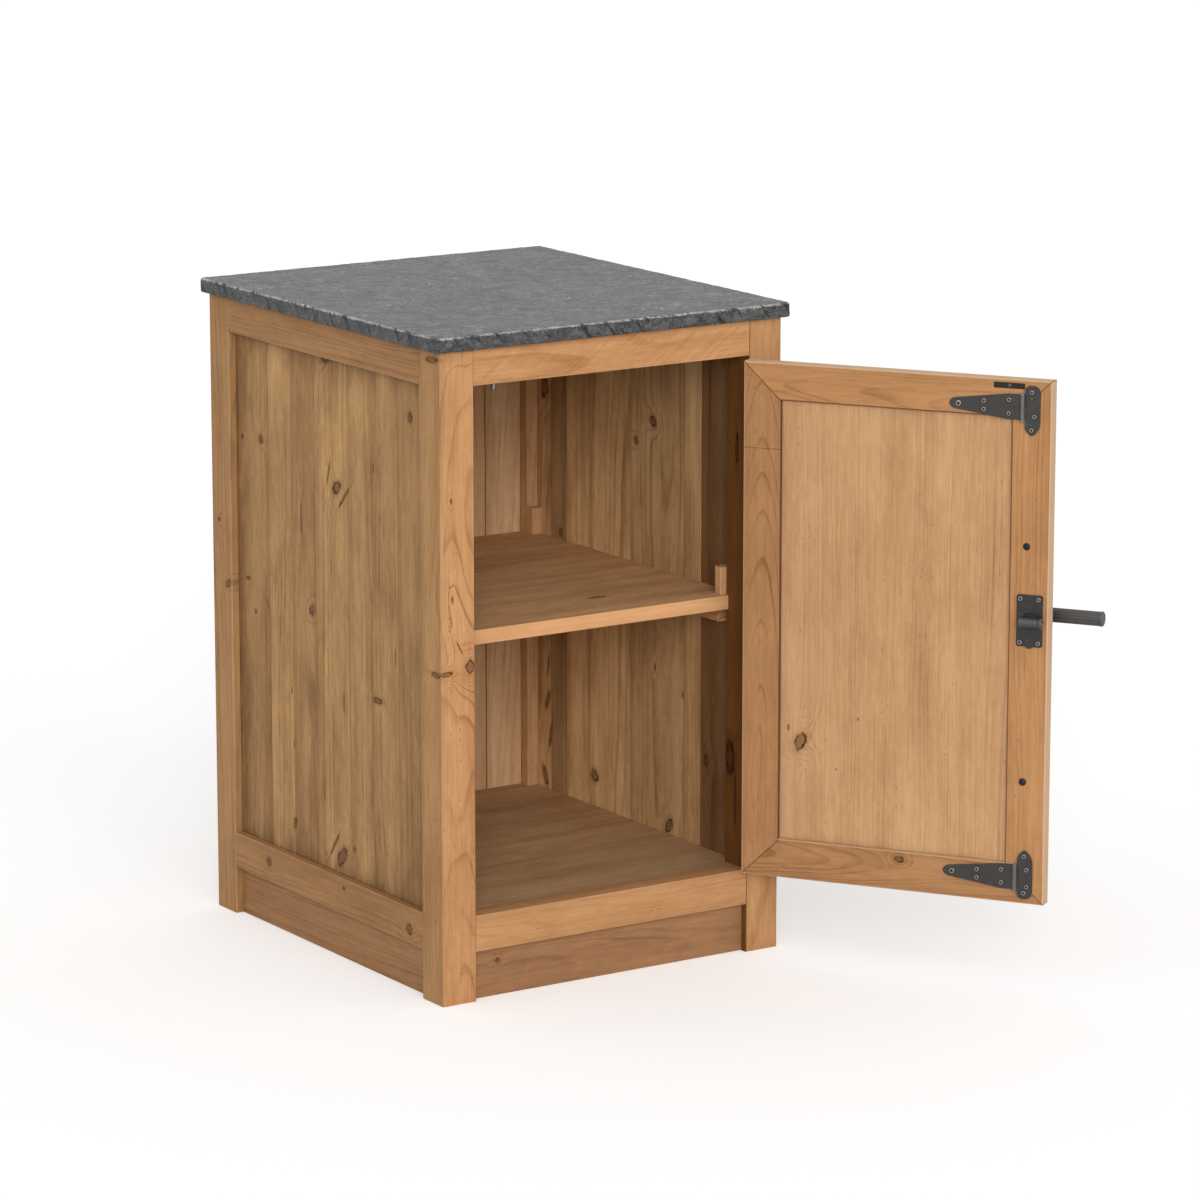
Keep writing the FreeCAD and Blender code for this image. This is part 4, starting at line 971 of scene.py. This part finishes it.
SLAB_CORNER = 0.006
SLAB_COLUMNS = 2300
SLAB_ARRIS = 0.0034
SLAB_UNDER_ARRIS = 0.0015
SLATE_RELIEF = 0.0055


def slab_waves(x, y):
    """How high the riven top stands, from -2 to 2: the sum of two bent rows of waves."""
    return np.sin(x * 61 + 3 * np.sin(y * 23)) + np.sin(y * 83 + 2 * np.sin(x * 37))


def make_worktop():
    """The slab as rings round its edge, from near the middle of its top over the arris to its underside."""
    low, high = [np.array(corner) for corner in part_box("stone_worktop")]
    half = (high - low) / 2
    middle = (high + low) / 2
    thickness = 2 * half[2]
    outline, normals, run, length = rounded_outline(half[0], half[1], SLAB_CORNER, SLAB_COLUMNS)

    # Each ring: how far in from the edge, and how far down from the top
    arris, under = SLAB_ARRIS, SLAB_UNDER_ARRIS
    insets = np.concatenate([np.geomspace(0.26, 0.014, 8), np.linspace(0.010, arris, 4)])
    top = [(inset, 0.0) for inset in insets]
    angles = np.linspace(0.3, math.pi / 2, 6)
    round_over = [(arris * (1 - math.sin(angle)), arris * (1 - math.cos(angle))) for angle in angles]
    side = [(0.0, down) for down in np.linspace(arris + 0.0012, thickness - under, 11)]
    below = [(under * 0.4, thickness - 0.0006), (under, thickness), (0.015, thickness), (0.2, thickness)]
    rings = np.array(top + round_over + side + below)
    inset, down = rings[:, :1], rings[:, 1:]

    depth = dressed_edge(run, length, down, np.random.default_rng(41))
    on_edge = np.clip(1 - inset / (arris * 1.6), 0, 1) * np.clip((thickness - down) / 0.003, 0, 1)
    keep = 1 - inset / half[0]
    slope = np.clip(inset / arris, 0, 1)
    flat = outline[None, :, :] * keep[:, :, None]
    flat = flat - normals[None, :, :] * (depth * on_edge * (1 - slope * 0.6))[:, :, None]
    riven = 0.0001 * (slab_waves(flat[..., 0], flat[..., 1]) - 2) * np.clip(inset / 0.02, 0, 1) * (down == 0)
    level = half[2] - down - 0.7 * depth * on_edge * (down < arris) + riven
    points = np.concatenate([flat + middle[:2], (level + middle[2])[..., None]], -1).reshape(-1, 3)
    centres = np.array([[middle[0], middle[1], high[2] - 0.0002], [middle[0], middle[1], low[2]]])
    points = np.concatenate([points, centres])

    finish = Finish("riven_slate_top")
    slate = finish.use(make_stone_group(), Place=finish.place_on(middle), Half=half)
    slab_material = finish.complete(slate["Color"], slate, SLATE_RELIEF)
    mesh = new_mesh("slate_worktop", points, capped_rings(len(rings), SLAB_COLUMNS), slab_material)
    mesh.polygons.foreach_set("use_smooth", np.ones(len(mesh.polygons), bool))
    mesh.update()
    piece = put("slate_worktop", mesh)
    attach(piece, "cabinet")
    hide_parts("stone_worktop")


# Light: an even white sky, a broad lamp from the front, and a fill lamp from the camera that reaches inside.
# Each lamp is (direction that it shines from, spread in degrees, level).
SKY_LEVEL = 0.6
LAMPS = {"soft_lamp": ((-0.2, -0.9, 0.4), 50, 0.8), "fill_lamp": ((-0.52, -0.8, 0.33), 20, 0.9)}
FLOOR_LIFT = 0.3
FLOOR_REACH = 40.0
FLOOR_STEPS = 8
WHITE = grey(255)


def make_floor():
    """A wide pale floor that keeps the cabinet's shadow and shows white to the camera."""
    columns = FLOOR_STEPS + 1
    x, y = np.meshgrid(*[np.linspace(-FLOOR_REACH, FLOOR_REACH, columns)] * 2)
    points = np.stack([x.ravel(), y.ravel(), np.zeros(x.size)], 1)
    row = np.arange(FLOOR_STEPS)[:, None] * columns + np.arange(FLOOR_STEPS)[None, :]
    faces = np.stack([row, row + 1, row + columns + 1, row + columns], -1).reshape(-1, 4)
    finish = Finish("pale_floor")
    finish.tree.nodes.clear()
    paper = finish.add("ShaderNodeBsdfDiffuse", {"Color": (0.92, 0.92, 0.92, 1.0)})[0]
    seen = finish.add("ShaderNodeLightPath")["Is Camera Ray"]
    glow = finish.add("ShaderNodeEmission", {"Color": WHITE, "Strength": seen * FLOOR_LIFT})[0]
    both = finish.add("ShaderNodeAddShader", {0: paper, 1: glow})[0]
    finish.add("ShaderNodeOutputMaterial", {"Surface": both})
    put("floor", new_mesh("floor", points, faces.tolist(), finish.material))


def make_light():
    world = bpy.data.worlds.new("white_sky")
    bpy.context.scene.world = world
    world.use_nodes = True
    recipe = Recipe(world.node_tree)
    sky = world.node_tree.nodes["Background"]
    path = recipe.add("ShaderNodeLightPath")
    mirrored = recipe.math("MAXIMUM", path["Is Glossy Ray"], path["Is Transmission Ray"])
    shown = recipe.math("MAXIMUM", path["Is Camera Ray"], mirrored)
    recipe.feed(sky.inputs["Color"], WHITE)
    recipe.feed(sky.inputs["Strength"], shown * (1.0 - SKY_LEVEL) + SKY_LEVEL)
    for name, ((x, y, z), spread, level) in LAMPS.items():
        lamp = bpy.data.lights.new(name, "SUN")
        lamp.energy = level
        lamp.angle = math.radians(spread)
        put(name, lamp).rotation_euler = (math.acos(z / math.hypot(x, y, z)), 0.0, math.atan2(x, -y))


# Camera, worked out from the photo's corners: where it stands, its turn, and its focal length in pixels
CAMERA_PLACE = (-3.777, -5.7603, 2.0042)
CAMERA_TURN = math.radians(33.203)
CAMERA_DOWN = math.radians(12.181)
FOCAL_PIXELS = 5271.9
PHOTO_PIXELS = 1200
SENSOR_WIDTH = 36.0
FARTHEST = 200.0


def make_camera():
    data = bpy.data.cameras.new("photo_camera")
    data.sensor_width = SENSOR_WIDTH
    data.lens = FOCAL_PIXELS / PHOTO_PIXELS * SENSOR_WIDTH
    data.clip_end = FARTHEST
    camera = put("photo_camera", data)
    camera.location = CAMERA_PLACE
    camera.rotation_euler = (math.pi / 2 - CAMERA_DOWN, 0.0, -CAMERA_TURN)
    bpy.context.scene.camera = camera


dress_frame()
dress_walls()
dress_inside()
dress_door()
dress_metal()
make_worktop()
make_floor()
make_light()
make_camera()
bpy.context.scene.view_settings.view_transform = "Standard"
